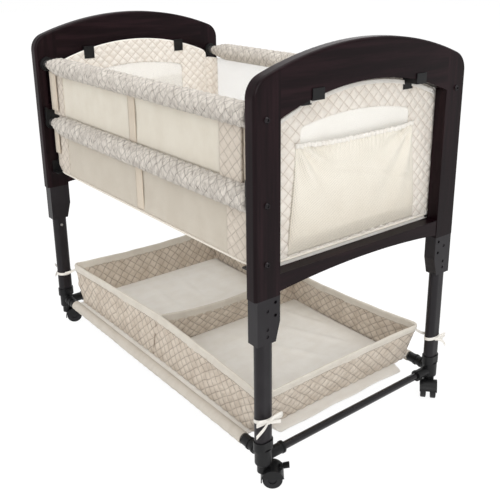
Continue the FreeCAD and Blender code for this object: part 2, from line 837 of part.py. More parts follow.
def arch_clip(y_sign, arch):
    """A clip that grips the fabric's top edge and hooks round the arch's lower edge."""
    y0, y1 = y_sign * clip_y - clip_half_width, y_sign * clip_y + clip_half_width
    edge = arch_height(opening_apex_z, opening_radius, clip_y)
    low = arch_height(opening_apex_z, opening_radius, clip_y + clip_half_width) - clip_wall
    high = arch_height(opening_apex_z, opening_radius, clip_y - clip_half_width)
    over = high + end_wall_rise + clip_top_gap
    fabric_in, fabric_out = end_wall_outer_x - wall_thickness, end_wall_outer_x
    front, back, foot = panel_outer_x + clip_wall, fabric_in - clip_wall, edge - clip_drop
    under = block(fabric_out, front, y0, y1, low, high)
    tab = block(panel_outer_x, front, y0, y1, low, edge + clip_rise)
    outer_jaw = block(fabric_out, fabric_out + clip_wall, y0, y1, foot, over)
    inner_jaw = block(back, fabric_in, y0, y1, foot, over)
    bridge = block(back, fabric_out + clip_wall, y0, y1, over, over + clip_wall)
    return joined([under, tab, outer_jaw, inner_jaw, bridge]).cut(arch)


def floor_tube():
    """The bent tube that stiffens the nest's hem, lying on the floor cloth."""
    half_x = end_wall_outer_x - wall_thickness - floor_tube_inset
    half_y = side_wall_y - floor_tube_inset
    z, r = floor_top_z + floor_tube_radius, nest_corner
    path = rounded_outline(half_x, half_y, r, z)
    start = Vector(half_x, half_y - r, z)
    rings = []
    for radius in (floor_tube_radius, floor_tube_radius - floor_tube_wall):
        circle = Part.Wire([Part.Circle(start, Vector(0, 1, 0), radius).toShape()])
        rings.append(path.makePipeShell([circle], True, False))
    return rings[0].cut(rings[1])


def nest_floor():
    return rounded_plate(end_wall_outer_x, side_wall_y + wall_thickness / 2, nest_corner,
                         nest_bottom_z, floor_top_z)


def nest_board():
    half_x = end_wall_outer_x - wall_thickness - floor_tube_inset
    half_y = side_wall_y - floor_tube_inset
    return rounded_plate(half_x, half_y, nest_corner, floor_board_z,
                         floor_board_z + floor_board_thickness)


def mattress():
    """A thin pad with drawn-in sides and a low crown."""
    wires = []
    for share, inset in mattress_edge:
        z = mattress_z + share * mattress_thickness
        wires.append(rounded_outline(
            mattress_half_length - inset, mattress_half_width - inset,
            max(mattress_corner - inset / 2, mattress_least_corner), z,
        ))
    return Part.makeLoft(wires, True, True)


def floor_bracket(y_sign):
    """An angle bracket on the post's inner face that carries a corner of the floor."""
    top = nest_bottom_z - soft_gap
    y0 = y_sign * (side_wall_y - bracket_width / 2)
    y1 = y_sign * (side_wall_y + bracket_width / 2)
    plate = block(panel_inner_x - bracket_wall, panel_inner_x, y0, y1,
                  top - bracket_wall, spare_bolt_z + bolt_head_radius)
    shelf = block(panel_inner_x - bracket_reach, panel_inner_x,
                  y_sign * (side_wall_y - bracket_width), y1, top - bracket_wall, top)
    return joined([plate, shelf])


# Storage basket

def basket_section(z, outset):
    """The basket's outline at height z, moved outwards by outset."""
    share = (z - basket_bottom_z) / (basket_rim_z - basket_bottom_z)

    def between(low, high):
        return low + (high - low) * share

    return bowed_outline(
        between(basket_bottom_half[0], basket_rim_half[0]) + outset,
        between(basket_bottom_half[1], basket_rim_half[1]) + outset,
        between(basket_bow[0], basket_rim_bow[0]),
        between(basket_bow[1], basket_rim_bow[1]), z,
    )


def basket_form(z0, z1, outset):
    return Part.makeLoft([basket_section(z0, outset), basket_section(z1, outset)], True, True)


def basket_pieces():
    hollow = basket_form(basket_bottom_z + basket_floor, basket_rim_z + margin, -basket_wall)
    walls = basket_form(basket_bottom_z, basket_rim_z, 0)
    band = basket_form(basket_rim_z - rim_band_height, basket_rim_z, rim_band_proud)
    basket = walls.fuse(band).cut(hollow)
    x0, x1 = divider_x - divider_thickness / 2, divider_x + divider_thickness / 2
    low = basket_bottom_z + basket_floor
    top, w = low + divider_height, basket_rim_half[1]
    wire = Part.Wire([
        line((x0, -w, low), (x0, w, low)),
        line((x0, w, low), (x0, w, top)),
        arc((x0, w, top), (x0, 0, top - divider_dip), (x0, -w, top)),
        line((x0, -w, top), (x0, -w, low)),
    ])
    divider = Part.Face(wire).extrude(Vector(divider_thickness, 0, 0)).common(hollow)
    reach = basket_rim_half[0]
    boards = [
        hollow.common(block(x1, reach, -w, w, low, low + floor_board)),
        hollow.common(block(-reach, x0, -w, w, low, low + floor_board)),
    ]
    return basket, divider, Part.makeCompound(boards)


def basket_sling():
    """The cloth under the basket, with a sleeve sewn round each side tube."""
    top = basket_bottom_z
    end = leg_axis_x - side_arm_length - sleeve_end_gap
    low = top - sling_thickness
    tongue_x = leg_axis_x - end_tube_radius - sling_end_clearance
    tongue_y = leg_axis_y - end_arm_length - sling_arm_clearance
    shapes = [
        block(-end, end, -leg_axis_y, leg_axis_y, low, top),
        block(-tongue_x, tongue_x, -tongue_y, tongue_y, low, top),
    ]
    bores = []
    for y_sign in (-1, 1):
        y = y_sign * leg_axis_y
        shapes.append(rod((-end, y, side_tube_z), (end, y, side_tube_z),
                          side_tube_radius + sling_sleeve_wall))
        bores.append(rod((-end - margin, y, side_tube_z), (end + margin, y, side_tube_z),
                         side_tube_radius))
    return joined(shapes).cut(bores)


def basket_tie(basket):
    """A fabric tie: a band round the leg, a strap to the basket's rim and two tails."""
    x, y = leg_axis_x, leg_axis_y
    z0, z1 = tie_z - tie_height / 2, tie_z + tie_height / 2
    grow = 2 * (tie_gap + tie_thickness)
    band = stadium(x, y, leg_depth + grow, leg_width + grow, z0, z1)
    band = band.cut(stadium(x, y, leg_depth + 2 * tie_gap, leg_width + 2 * tie_gap,
                            z0 - margin, z1 + margin))
    start = Vector(x - leg_depth / 2 - tie_gap, y - leg_width / 4, z0)
    share = (tie_z - basket_bottom_z) / (basket_rim_z - basket_bottom_z)
    target_x = basket_bottom_half[0] + (basket_rim_half[0] - basket_bottom_half[0]) * share
    target_y = basket_bottom_half[1] + (basket_rim_half[1] - basket_bottom_half[1]) * share
    run = Vector(target_x - start.x - tie_overlap, target_y - start.y - tie_overlap, 0)
    side = Vector(-run.y, run.x, 0).normalize() * tie_thickness
    strap = Part.Face(Part.makePolygon([
        start, start + run, start + run + side, start + side, start,
    ])).extrude(Vector(0, 0, tie_height))
    tails = []
    face = x + leg_depth / 2 + tie_gap
    for slope in tie_tail_slopes:
        tail = block(face, face + tie_thickness, y - tie_tail, y, z0, z1)
        tails.append(tail.rotated(Vector(face, y, tie_z), Vector(1, 0, 0),
                                  math.degrees(math.atan(slope))))
    return joined([band, strap] + tails).cut(basket)


# All pieces, one named node each

def everything():
    nodes = {}
    sleeves, ties = [], []
    basket, divider, boards = basket_pieces()
    fitting, leg, button = corner_fitting(), leg_tube(), snap_button()
    sleeve, tie = leg_sleeve(), basket_tie(basket)
    for name, signs in corners.items():
        nodes["corner_fitting_" + name] = mirrored(fitting, *signs)
        nodes["leg_tube_" + name] = mirrored(leg, *signs)
        nodes["snap_button_" + name] = mirrored(button, *signs)
        braked = name in braked_corners
        nodes["caster_housing_" + name] = at_caster(caster_housing(braked), name)
        nodes["caster_wheels_" + name] = at_caster(caster_wheels(), name)
        if braked:
            nodes["brake_lever_" + name] = at_caster(brake_lever(), name)
        sleeves.append(mirrored(sleeve, *signs))
        ties.append(mirrored(tie, *signs))
    nodes["leg_sleeves"] = Part.makeCompound(sleeves)
    nodes["basket_ties"] = Part.makeCompound(ties)

    nodes["side_tube_back"] = side_tube()
    nodes["side_tube_front"] = mirrored(side_tube(), 1, -1)
    nodes["end_tube_foot"] = end_tube()
    nodes["end_tube_head"] = mirrored(end_tube(), -1, 1)
    nodes["storage_basket"] = basket
    nodes["basket_divider"] = divider
    nodes["basket_floor_boards"] = boards
    nodes["basket_sling"] = basket_sling()

    posts, arch, lower_rail = end_panel_pieces()
    clips = [arch_clip(y_sign, arch) for y_sign in (-1, 1)]
    brackets = [floor_bracket(y_sign) for y_sign in (-1, 1)]
    bolts = bolt_shanks("bolt")
    all_clips, all_brackets, all_bolts, pockets = [], [], [], []
    wall, pocket = end_wall(), mesh_pocket()
    for end, sign in ends.items():
        nodes[end + "_posts"] = mirrored(posts, sign, 1)
        nodes[end + "_arch_rail"] = mirrored(arch, sign, 1)
        nodes[end + "_lower_rail"] = mirrored(lower_rail, sign, 1)
        nodes["nest_" + end + "_wall"] = mirrored(wall, sign, 1)
        pockets.append(mirrored(pocket, sign, 1))
        all_clips += [mirrored(s, sign, 1) for s in clips]
        all_brackets += [mirrored(s, sign, 1) for s in brackets]
        all_bolts += [mirrored(s, sign, 1) for s in bolts]
    nodes["mesh_pockets"] = Part.makeCompound(pockets)
    nodes["arch_clips"] = Part.makeCompound(all_clips)
    nodes["floor_brackets"] = Part.makeCompound(all_brackets)
    nodes["rail_bolts"] = Part.makeCompound(all_bolts)

    y = rail_y
    nodes["drop_rail_tube"] = rail_tube(-y, rail_z, panel_inner_x - cap_gap - flange_thickness)
    nodes["drop_rail_pad"] = rail_pad(-y, rail_z, rail_pad_radius, rail_pad_radius)
    nodes["drop_rail_caps"] = Part.makeCompound([drop_cap(sign) for sign in (-1, 1)])
    nodes["mid_rail_tube"] = rail_tube(-y, mid_rail_z, flange_face_x)
    nodes["mid_rail_pad"] = rail_pad(-y, mid_rail_z, rail_pad_radius, mid_pad_half_height)
    nodes["back_rail_tube"] = rail_tube(y, rail_z, flange_face_x)
    nodes["back_rail_pad"] = rail_pad(y, rail_z, rail_pad_radius, rail_pad_radius)
    nodes["rail_flanges"] = Part.makeCompound([
        flange(sign, side * y, z) for sign in (-1, 1) for side, z in ((-1, mid_rail_z), (1, rail_z))
    ])
    nodes["rail_rests"] = Part.makeCompound([rail_rest(sign) for sign in (-1, 1)])

    nodes["nest_front_wall"], nodes["nest_drop_wall"] = front_walls()
    nodes["nest_back_wall"] = back_wall()
    nodes["nest_floor"] = nest_floor()
    nodes["nest_floor_tube"] = floor_tube()
    nodes["nest_floor_board"] = nest_board()
    nodes["mattress"] = mattress()
    return nodes


os.makedirs("parts", exist_ok=True)
overall = FreeCAD.BoundBox()
for node, shape in sorted(everything().items()):
    if not shape.isValid():
        print("not valid:", node)
    shape.exportStep("parts/" + node + ".step")
    box = shape.optimalBoundingBox()
    overall.add(box)
    print("%-30s %2d solids %10.0f mm3  x %7.1f %7.1f  y %7.1f %7.1f  z %6.1f %6.1f" % (
        node, len(shape.Solids), shape.Volume, box.XMin, box.XMax, box.YMin, box.YMax,
        box.ZMin, box.ZMax,
    ))
print("overall x %.2f %.2f  y %.2f %.2f  z %.2f %.2f" % (
    overall.XMin, overall.XMax, overall.YMin, overall.YMax, overall.ZMin, overall.ZMax,
))
print("drop rail travel %.1f mm" % drop_travel)
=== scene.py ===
import json
import math
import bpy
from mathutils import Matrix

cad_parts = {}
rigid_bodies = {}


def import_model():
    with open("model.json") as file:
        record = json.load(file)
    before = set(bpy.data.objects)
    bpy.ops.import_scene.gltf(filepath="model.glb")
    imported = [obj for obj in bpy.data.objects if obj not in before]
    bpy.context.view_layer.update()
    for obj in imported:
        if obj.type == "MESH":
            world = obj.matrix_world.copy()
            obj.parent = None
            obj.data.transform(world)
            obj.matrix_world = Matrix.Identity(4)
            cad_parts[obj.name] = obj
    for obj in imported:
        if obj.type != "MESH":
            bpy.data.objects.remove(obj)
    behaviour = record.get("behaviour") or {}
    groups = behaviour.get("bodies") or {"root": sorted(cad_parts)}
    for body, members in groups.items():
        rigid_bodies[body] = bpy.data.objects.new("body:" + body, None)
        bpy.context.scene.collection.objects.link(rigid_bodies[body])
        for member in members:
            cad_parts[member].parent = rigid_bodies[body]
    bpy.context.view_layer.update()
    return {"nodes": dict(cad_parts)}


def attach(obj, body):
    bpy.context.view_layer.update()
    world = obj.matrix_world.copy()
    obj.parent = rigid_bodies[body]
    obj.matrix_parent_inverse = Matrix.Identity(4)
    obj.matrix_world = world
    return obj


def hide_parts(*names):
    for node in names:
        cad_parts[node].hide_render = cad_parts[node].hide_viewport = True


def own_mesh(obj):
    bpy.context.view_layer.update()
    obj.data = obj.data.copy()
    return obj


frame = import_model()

from fnmatch import fnmatchcase

import bmesh
import bpy
import numpy as np
from mathutils import Vector

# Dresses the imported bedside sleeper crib: cloth, paint and trim over its CAD frame, in metres.
# +X points to the foot panel, -Y to the side that faces the adult bed, the floor is z = 0.

fullTurn = 2 * math.pi
bothEnds = (("foot", 1), ("head", -1))


def srgb(red, green, blue):
    def straight(level):
        level /= 255
        return level / 12.92 if level <= 0.04045 else ((level + 0.055) / 1.055) ** 2.4
    return (straight(red), straight(green), straight(blue), 1.0)


def feed(tree, socket, value):
    value = value.output if isinstance(value, Socket) else value
    if isinstance(value, bpy.types.NodeSocket):
        tree.links.new(value, socket)
    else:
        socket.default_value = value


def newNode(tree, kind, settings, inputs):
    # the settings come first, because they decide which sockets the node has
    made = tree.nodes.new(kind)
    for key, value in (settings or {}).items():
        setattr(made, key, value)
    for key, value in (inputs or {}).items():
        feed(tree, made.inputs[key], value)
    return made


def bothWays(operation):  # an operator and its reflected form
    return (lambda self, other: self.maths(operation, self, other),
            lambda self, other: self.maths(operation, other, self))


class Socket:
    __add__, __radd__ = bothWays("ADD")
    __sub__, __rsub__ = bothWays("SUBTRACT")
    __mul__, __rmul__ = bothWays("MULTIPLY")
    __truediv__, __rtruediv__ = bothWays("DIVIDE")

    def __init__(self, paint, output):
        self.paint, self.output = paint, output

    def maths(self, operation, first, *rest):
        values = dict(enumerate((first, *rest)))
        return self.paint.node("ShaderNodeMath", {"operation": operation}, values)

    def lower(self, other):
        return self.maths("MINIMUM", self, other)

    def higher(self, other):
        return self.maths("MAXIMUM", self, other)

    def wave(self, period):
        return self.maths("SINE", self * (fullTurn / period))

    def fromLine(self):  # distance to the nearest whole number, 0 to 0.5
        return self.maths("PINGPONG", self, 0.5)

    def step(self, low, high):  # 0 under low, 1 over high, smooth between
        return self.paint.node("ShaderNodeMapRange", {"interpolation_type": "SMOOTHSTEP"},
                               {"Value": self, "From Min": low, "From Max": high})


class Paint:
    def __init__(self, name, **fixed):
        self.material = bpy.data.materials.new(name)
        self.material.use_nodes = True
        self.tree = self.material.node_tree
        self.shader = self.tree.nodes["Principled BSDF"]
        for key, value in fixed.items():
            self.shader.inputs[key.replace("_", " ")].default_value = value

    def node(self, kind, settings=None, inputs=None, output=0):
        return Socket(self, newNode(self.tree, kind, settings, inputs).outputs[output])

    def put(self, **links):
        for key, value in links.items():
            feed(self.tree, self.shader.inputs[key.replace("_", " ")], value)
        return self.material

    def mix(self, first, second, share):
        return self.node("ShaderNodeMix", {"data_type": "RGBA"},
                         {0: share, 6: first, 7: second}, 2)

    def noise(self, vector, scale, detail=3.0, rough=0.5):
        return self.node("ShaderNodeTexNoise", {},
                         {"Vector": vector, "Scale": scale, "Detail": detail, "Roughness": rough})

    def bump(self, height, distance, strength=1.0, under=None):
        inputs = {"Height": height, "Distance": distance, "Strength": strength}
        if under:
            inputs["Normal"] = under
        return self.node("ShaderNodeBump", {}, inputs)

    def place(self):  # the row frame, in metres
        return self.node("ShaderNodeTexCoord", {}, {}, "Object")

    def cloth(self):  # along and across the cloth, in metres
        return self.node("ShaderNodeUVMap", {"uv_map": "cloth"}, {})

    def parts(self, vector):
        made = newNode(self.tree, "ShaderNodeSeparateXYZ", {}, {0: vector})
        return [Socket(self, output) for output in made.outputs]

    def vector(self, x, y, z=0.0):
        return self.node("ShaderNodeCombineXYZ", {}, {0: x, 1: y, 2: z})


quilting = {"along": 0.0285, "up": 0.0262, "stitch": 0.0009, "stray": 0.0032}
quiltPitch = quilting["along"] * quilting["up"] / math.hypot(quilting["along"], quilting["up"])


def fabricPaint(name, colour, shade, stitch=None, wrinkle=0.0, weave=0.0009, rough=0.88,
                pucker=0.0, ink=0.6, warm=0.3, grain=(30.0, 16.0), creaseShade=0.25, wander=0.17,
                relief=0.0016):
    paint = Paint(name, Roughness=rough, Sheen_Weight=0.2, Sheen_Roughness=0.5,
                  Specular_IOR_Level=0.2)
    cloth = paint.cloth()
    u, v, _ = paint.parts(cloth)
    cloud = paint.noise(cloth, 22.0, 3.0)
    slub = paint.noise(paint.vector(u * 900.0, v * 60.0), 1.0, 2.0)
    tone = paint.mix(colour, shade, cloud.step(0.35, 0.75) * warm + slub.step(0.45, 0.8) * 0.2)
    threads = u.wave(weave) * v.wave(weave)
    normal = paint.bump(threads + slub * 1.5, 0.00018)
    roughness = slub * 0.12 + (rough - 0.06)
    if wrinkle:  # creases that run round a pad or down a wall
        creases = paint.noise(paint.vector(u * grain[0], v * grain[1]), 1.0, 4.0, 0.6)
        crumpled = paint.noise(cloth, 75.0, 4.0, 0.6)
        normal = paint.bump(creases + crumpled * 0.7, wrinkle, 1.0, normal)
        # painted shade: the creases are darkened towards the shade colour, as far as creaseShade
        # says
        tone = paint.mix(tone, shade, creases.step(0.58, 0.36) * creaseShade)
    if stitch:
        bent = (paint.noise(cloth, 34.0, 2.0) - 0.5) * wander
        first = u / quilting["along"] + v / quilting["up"] + bent
        second = u / quilting["along"] - v / quilting["up"] + bent * 0.8
        away = first.fromLine().lower(second.fromLine()) * quiltPitch
        worn = paint.noise(cloth, 48.0, 2.0).step(0.30, 0.62)  # thread sinks away in places
        dash = (second * 9.0).fromLine().higher((first * 9.0).fromLine())
        line = away.step(quilting["stitch"], quilting["stitch"] * 0.3)
        valley = away.step(0.0042, 0.0) * min(1.0, relief * 700)
        # painted shade: the sunken quilt lines are darkened towards the shade colour
        tone = paint.mix(tone, shade, valley * 0.5)
        tone = paint.mix(tone, stitch, line * (worn * 0.65 + 0.35) * (dash * 0.5 + 0.7) * ink)
        normal = paint.bump(away.step(0.0, 0.0065), relief, 1.0, normal)
        if pucker:
            gathers = paint.noise(cloth, 170.0, 2.0) * valley
            normal = paint.bump(gathers, pucker, 1.0, normal)
    return paint.put(Base_Color=tone, Roughness=roughness, Normal=normal)


def netPaint(name, colour, shade, pitch, cover, clear=0.9):
    paint = Paint(name, Roughness=0.75, Sheen_Weight=0.2, Specular_IOR_Level=0.25)
    cloth = paint.cloth()
    u, v, _ = paint.parts(cloth)
    rows = u.wave(pitch) + (u * 0.5 + v * 0.866).wave(pitch) + (u * 0.5 - v * 0.866).wave(pitch)
    holes = rows.step(cover, cover + 0.5)
    cloud = paint.noise(cloth, 18.0)
    # painted shade: besides a random cloud, the cloth darkens towards the shade colour where v
    # falls under 0.17, towards its bottom
    tone = paint.mix(colour, shade, cloud.step(0.3, 0.8) * 0.2 + v.step(0.17, 0.0) * 0.6)
    normal = paint.bump(1.0 - holes, 0.0004)
    return paint.put(Base_Color=tone, Alpha=1.0 - holes * clear, Normal=normal,
                     Roughness=cloud * 0.15 + 0.66)


def woodPaint(name, dark, light, along):
    paint = Paint(name, Coat_Weight=0.08, Coat_Roughness=0.16, Specular_IOR_Level=0.08)
    x, y, z = paint.parts(paint.place())
    stretched = (x * 40.0, y * 55.0, z * 3.5) if along == "z" else (x * 40.0, y * 3.5, z * 55.0)
    fine = (x * 300.0, y * 420.0, z * 9.0) if along == "z" else (x * 300.0, y * 9.0, z * 420.0)
    grain = paint.noise(paint.vector(*stretched), 1.0, 5.0, 0.6)
    pores = paint.noise(paint.vector(*fine), 1.0, 3.0, 0.6)
    tone = paint.mix(dark, light, grain.step(0.38, 0.72))
    tone = paint.mix(tone, dark, pores.step(0.55, 0.8) * 0.6)
    normal = paint.bump(pores * 0.6 + grain, 0.00022, 0.8)
    return paint.put(Base_Color=tone, Roughness=grain * 0.14 + 0.34, Normal=normal)


def shellPaint(name, dark, light, rough, grit, metallic=0.0, coat=0.0):
    paint = Paint(name, Metallic=metallic, Coat_Weight=coat, Coat_Roughness=0.15,
                  Specular_IOR_Level=0.24)
    place = paint.place()
    speckle = paint.noise(place, 1400.0, 2.0)
    cloud = paint.noise(place, 26.0, 3.0)
    tone = paint.mix(dark, light, cloud.step(0.3, 0.8) * 0.7 + speckle.step(0.55, 0.8) * 0.3)
    normal = paint.bump(speckle, grit)
    return paint.put(Base_Color=tone, Roughness=cloud * 0.12 + (rough - 0.06), Normal=normal)


fabrics = {  # colour, shade in the creases, stitch colour, what differs from plain cloth
    "railQuilt": ((228, 221, 211), (166, 157, 148), (88, 77, 68),
                  {"wrinkle": 0.0042, "pucker": 0.0030, "ink": 0.75, "grain": (210.0, 70.0),
                   "creaseShade": 0.7, "wander": 0.40, "relief": 0.0006}),
    "sideQuilt": ((224, 213, 199), (196, 184, 169), (118, 102, 88),
                  {"wrinkle": 0.0012, "pucker": 0.0014, "ink": 0.65, "wander": 0.25}),
    "wallQuilt": ((244, 237, 227), (222, 211, 198), (150, 132, 114),
                  {"wrinkle": 0.0008, "pucker": 0.0010}),
    "innerQuilt": ((249, 243, 235), (230, 220, 208), (150, 132, 114),
                   {"wrinkle": 0.0008, "pucker": 0.0010, "ink": 0.55}),
    "basketQuilt": ((222, 210, 195), (184, 168, 150), (84, 70, 60),
                    {"wrinkle": 0.0016, "pucker": 0.0022, "ink": 0.75, "creaseShade": 0.4,
                     "wander": 0.36}),
    "plainWall": ((233, 226, 211), (219, 209, 191), None,
                  {"wrinkle": 0.0004, "rough": 0.8, "grain": (16.0, 7.0)}),
    # painted shade: the lower front wall is the plain wall's cloth made darker for the shadow
    # under the rails
    "lowerWall": ((208, 199, 184), (194, 183, 166), None,
                  {"wrinkle": 0.0005, "rough": 0.8, "grain": (16.0, 7.0)}),
    "rimCloth": ((226, 219, 207), (204, 195, 181), None, {"wrinkle": 0.0008}),
    "sleeveCloth": ((212, 204, 192), (192, 183, 169), None,
                    {"wrinkle": 0.0012, "grain": (60.0, 20.0)}),
    "whiteCloth": ((246, 242, 235), (230, 223, 212), None, {"wrinkle": 0.0004}),
    "tapeCloth": ((212, 199, 181), (192, 178, 159), None, {"weave": 0.0014}),
    "sheetCloth": ((253, 250, 244), (238, 232, 222), None, {"wrinkle": 0.0006}),
}
nets = {  # colour, shade, pitch of the holes, share of thread, how clear a hole is
    "whiteNet": ((250, 247, 240), (242, 238, 229), 0.0024, 0.55, 0.75),
    "backNet": ((254, 253, 251), (248, 246, 242), 0.0024, -0.60, 0.95),
    "pocketNet": ((236, 230, 217), (212, 202, 185), 0.0027, 0.62, 0.42),
    "headNet": ((252, 249, 243), (244, 240, 232), 0.0024, 0.25, 0.75),
}
stain = {"dark": (17, 6, 9), "light": (34, 18, 22)}
shells = {  # dark, light, roughness, depth of the grit, metal, clear coat
    "legPaint": ((29, 26, 29), (37, 34, 37), 0.38, 0.00006, 0.1),
    "blackTube": ((20, 18, 20), (28, 25, 27), 0.26, 0.00003, 0.2, 0.4),
    "blackPlastic": ((17, 17, 18), (27, 27, 28), 0.40, 0.00009),
    "casterRubber": ((26, 26, 28), (38, 38, 40), 0.5, 0.00008),
    "steel": ((150, 148, 146), (184, 181, 178), 0.30, 0.00003, 0.9),
    "darkScrew": ((34, 31, 33), (56, 52, 54), 0.25, 0.00002, 0.7),
    "seamThread": ((132, 118, 103), (152, 138, 122), 0.8, 0.00005),
}

paints = {}
for name, (colour, shade, stitch, rest) in fabrics.items():
    thread = srgb(*stitch) if stitch else None
    paints[name] = fabricPaint(name, srgb(*colour), srgb(*shade), thread, **rest)
for name, (colour, shade, *rest) in nets.items():
    paints[name] = netPaint(name, srgb(*colour), srgb(*shade), *rest)
for name, along in (("woodUp", "z"), ("woodAcross", "y")):
    paints[name] = woodPaint(name, srgb(*stain["dark"]), srgb(*stain["light"]), along)
for name, (dark, light, *rest) in shells.items():
    paints[name] = shellPaint(name, srgb(*dark), srgb(*light), *rest)
print("paints made")


def inScene(name, data):
    piece = bpy.data.objects.new(name, data)
    bpy.context.scene.collection.objects.link(piece)
    return piece


def dressed(piece, body, node=None):  # node is the CAD node that the piece stands for
    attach(piece, body)
    if node:
        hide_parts(node)
    return piece


def cleaned(piece):  # without loose points, and with its faces outwards
    mesh = bmesh.new()
    mesh.from_mesh(piece.data)
    bmesh.ops.delete(mesh, geom=[v for v in mesh.verts if not v.link_faces], context="VERTS")
    bmesh.ops.recalc_face_normals(mesh, faces=mesh.faces)
    mesh.to_mesh(piece.data)
    mesh.free()
    return piece


def meshPiece(name, points, faces, spots, material):
    mesh = bpy.data.meshes.new(name)
    mesh.vertices.add(len(points))
    mesh.vertices.foreach_set("co", np.asarray(points, np.float32).ravel())
    mesh.loops.add(faces.size)
    mesh.loops.foreach_set("vertex_index", faces.astype(np.int32).ravel())
    mesh.polygons.add(len(faces))
    mesh.polygons.foreach_set("loop_start", np.arange(0, faces.size, 4, dtype=np.int32))
    layer = mesh.uv_layers.new(name="cloth")
    layer.data.foreach_set("uv", np.asarray(spots, np.float32).ravel())
    mesh.update(calc_edges=True)
    mesh.validate()
    mesh.shade_smooth()
    mesh.materials.append(material)
    return cleaned(inScene(name, mesh))


def nearest(value):
    return np.rint(value).astype(int)


def quads(table):  # the four corners of each cell in a table of point numbers
    return np.stack([table[:-1, :-1], table[1:, :-1], table[1:, 1:], table[:-1, 1:]],
                    -1).reshape(-1, 4)


def grid(cells):  # s and t from 0 to 1, across and up a piece
    return np.meshgrid(*(np.linspace(0, 1, n + 1) for n in cells), indexing="ij")


def normalsOf(points, ring):  # across the seam too, where a ring closes
    if ring == "s":
        wide = np.concatenate([points[-2:-1], points, points[1:2]])
        ds = (wide[2:] - wide[:-2])
    else:
        ds = np.gradient(points, axis=0)
    if ring == "t":
        wide = np.concatenate([points[:, -2:-1], points, points[:, 1:2]], 1)
        dt = (wide[:, 2:] - wide[:, :-2])
    else:
        dt = np.gradient(points, axis=1)
    normal = np.cross(ds, dt)
    return normal / np.maximum(np.linalg.norm(normal, axis=-1, keepdims=True), 1e-12)


def clothPiece(name, place, cells, size, paint, thick=0.0016, puff=None, ring=None,
               body="upper_frame", spot=None,
               node=None):
    # place(s, t) gives the mid-surface; puff(u, v, s, t) raises both of its sides;
    # ring is the way in which the cloth closes on itself; spot gives its cut, if not its size
    s, t = grid(cells)
    points = np.stack(np.broadcast_arrays(*place(s, t)), -1).astype(float)
    u, v = spot(s, t) if spot else (s * size[0], t * size[1])
    half = thick(s, t) if callable(thick) else np.full_like(s, thick / 2)
    if puff:
        u, v = wandered(u, v, smooth(np.minimum(s, 1 - s) / 0.01) if ring else 1.0)
        half = half + puff(u, v, s, t)
    lift = normalsOf(points, ring) * half[..., None]
    front, back = points + lift, points - lift
    across, up = s.shape
    count = across * up
    index = np.arange(count).reshape(across, up)
    table = index.copy()
    if ring == "s":
        table[-1] = table[0]
    elif ring == "t":
        table[:, -1] = table[:, 0]
    faces = [quads(table), quads(table)[:, ::-1] + count]
    spots = [quads(index), quads(index)[:, ::-1]]
    edges = []
    if ring != "s":
        edges += [(table[0], index[0], 1), (table[-1], index[-1], -1)]
    if ring != "t":
        edges += [(table[:, 0], index[:, 0], -1), (table[:, -1], index[:, -1], 1)]
    for line, own, way in edges:  # strips that close the cloth between its two sides
        a, b = line[:-1], line[1:]
        strip = np.stack([a, b, b + count, a + count], -1)
        edge = np.stack([own[:-1], own[1:], own[1:], own[:-1]], -1)
        faces.append(strip if way > 0 else strip[:, ::-1])
        spots.append(edge if way > 0 else edge[:, ::-1])
    allPoints = np.concatenate([front.reshape(-1, 3), back.reshape(-1, 3)])
    uv = np.stack([u, v], -1).reshape(-1, 2)[np.concatenate(spots)]
    piece = meshPiece(name, allPoints, np.concatenate(faces), uv, paints[paint])
    return dressed(piece, body, node)


def diamonds(u, v):  # 0 on the stitch lines, 1 in the middle of a diamond
    along, up = u / quilting["along"], v / quilting["up"]
    return np.abs(np.sin(math.pi * (along + up)) * np.sin(math.pi * (along - up))) ** 0.5


def quilted(depth):  # how far the filling lifts the cloth between stitch lines
    return lambda u, v, s, t: depth * diamonds(u, v)


def wandered(u, v, share):  # sewn lines are never quite straight
    stray = quilting["stray"] * share
    return u + stray * ripple(u * 1.8, v * 1.8, 71), v + stray * ripple(u * 1.8, v * 1.8, 72)


def smooth(value):
    value = np.clip(value, 0, 1)
    return value * value * (3 - 2 * value)


def ripple(x, y, seed):  # a soft, repeatable unevenness from -1 to 1
    rng = np.random.default_rng(seed)
    total = 0
    for _ in range(6):
        way, phase, size = rng.uniform(0, fullTurn, 3)
        pace = rng.uniform(9, 34)
        total = total + np.sin((x * math.cos(way) + y * math.sin(way)) * pace + phase)
    return total / 6


rails = {"end": 0.4445, "y": 0.268, "top": 0.775, "middle": 0.616, "half": 0.0234,
         "tall": 0.0269, "tip": 0.42, "draw": 0.088, "headRound": 0.011, "footRound": 0.009,
         "puff": 0.0006, "crumple": 0.0009, "seam": 0.0016, "startTurn": 250,
         "cells": (480, 72), "fill": 0.85}


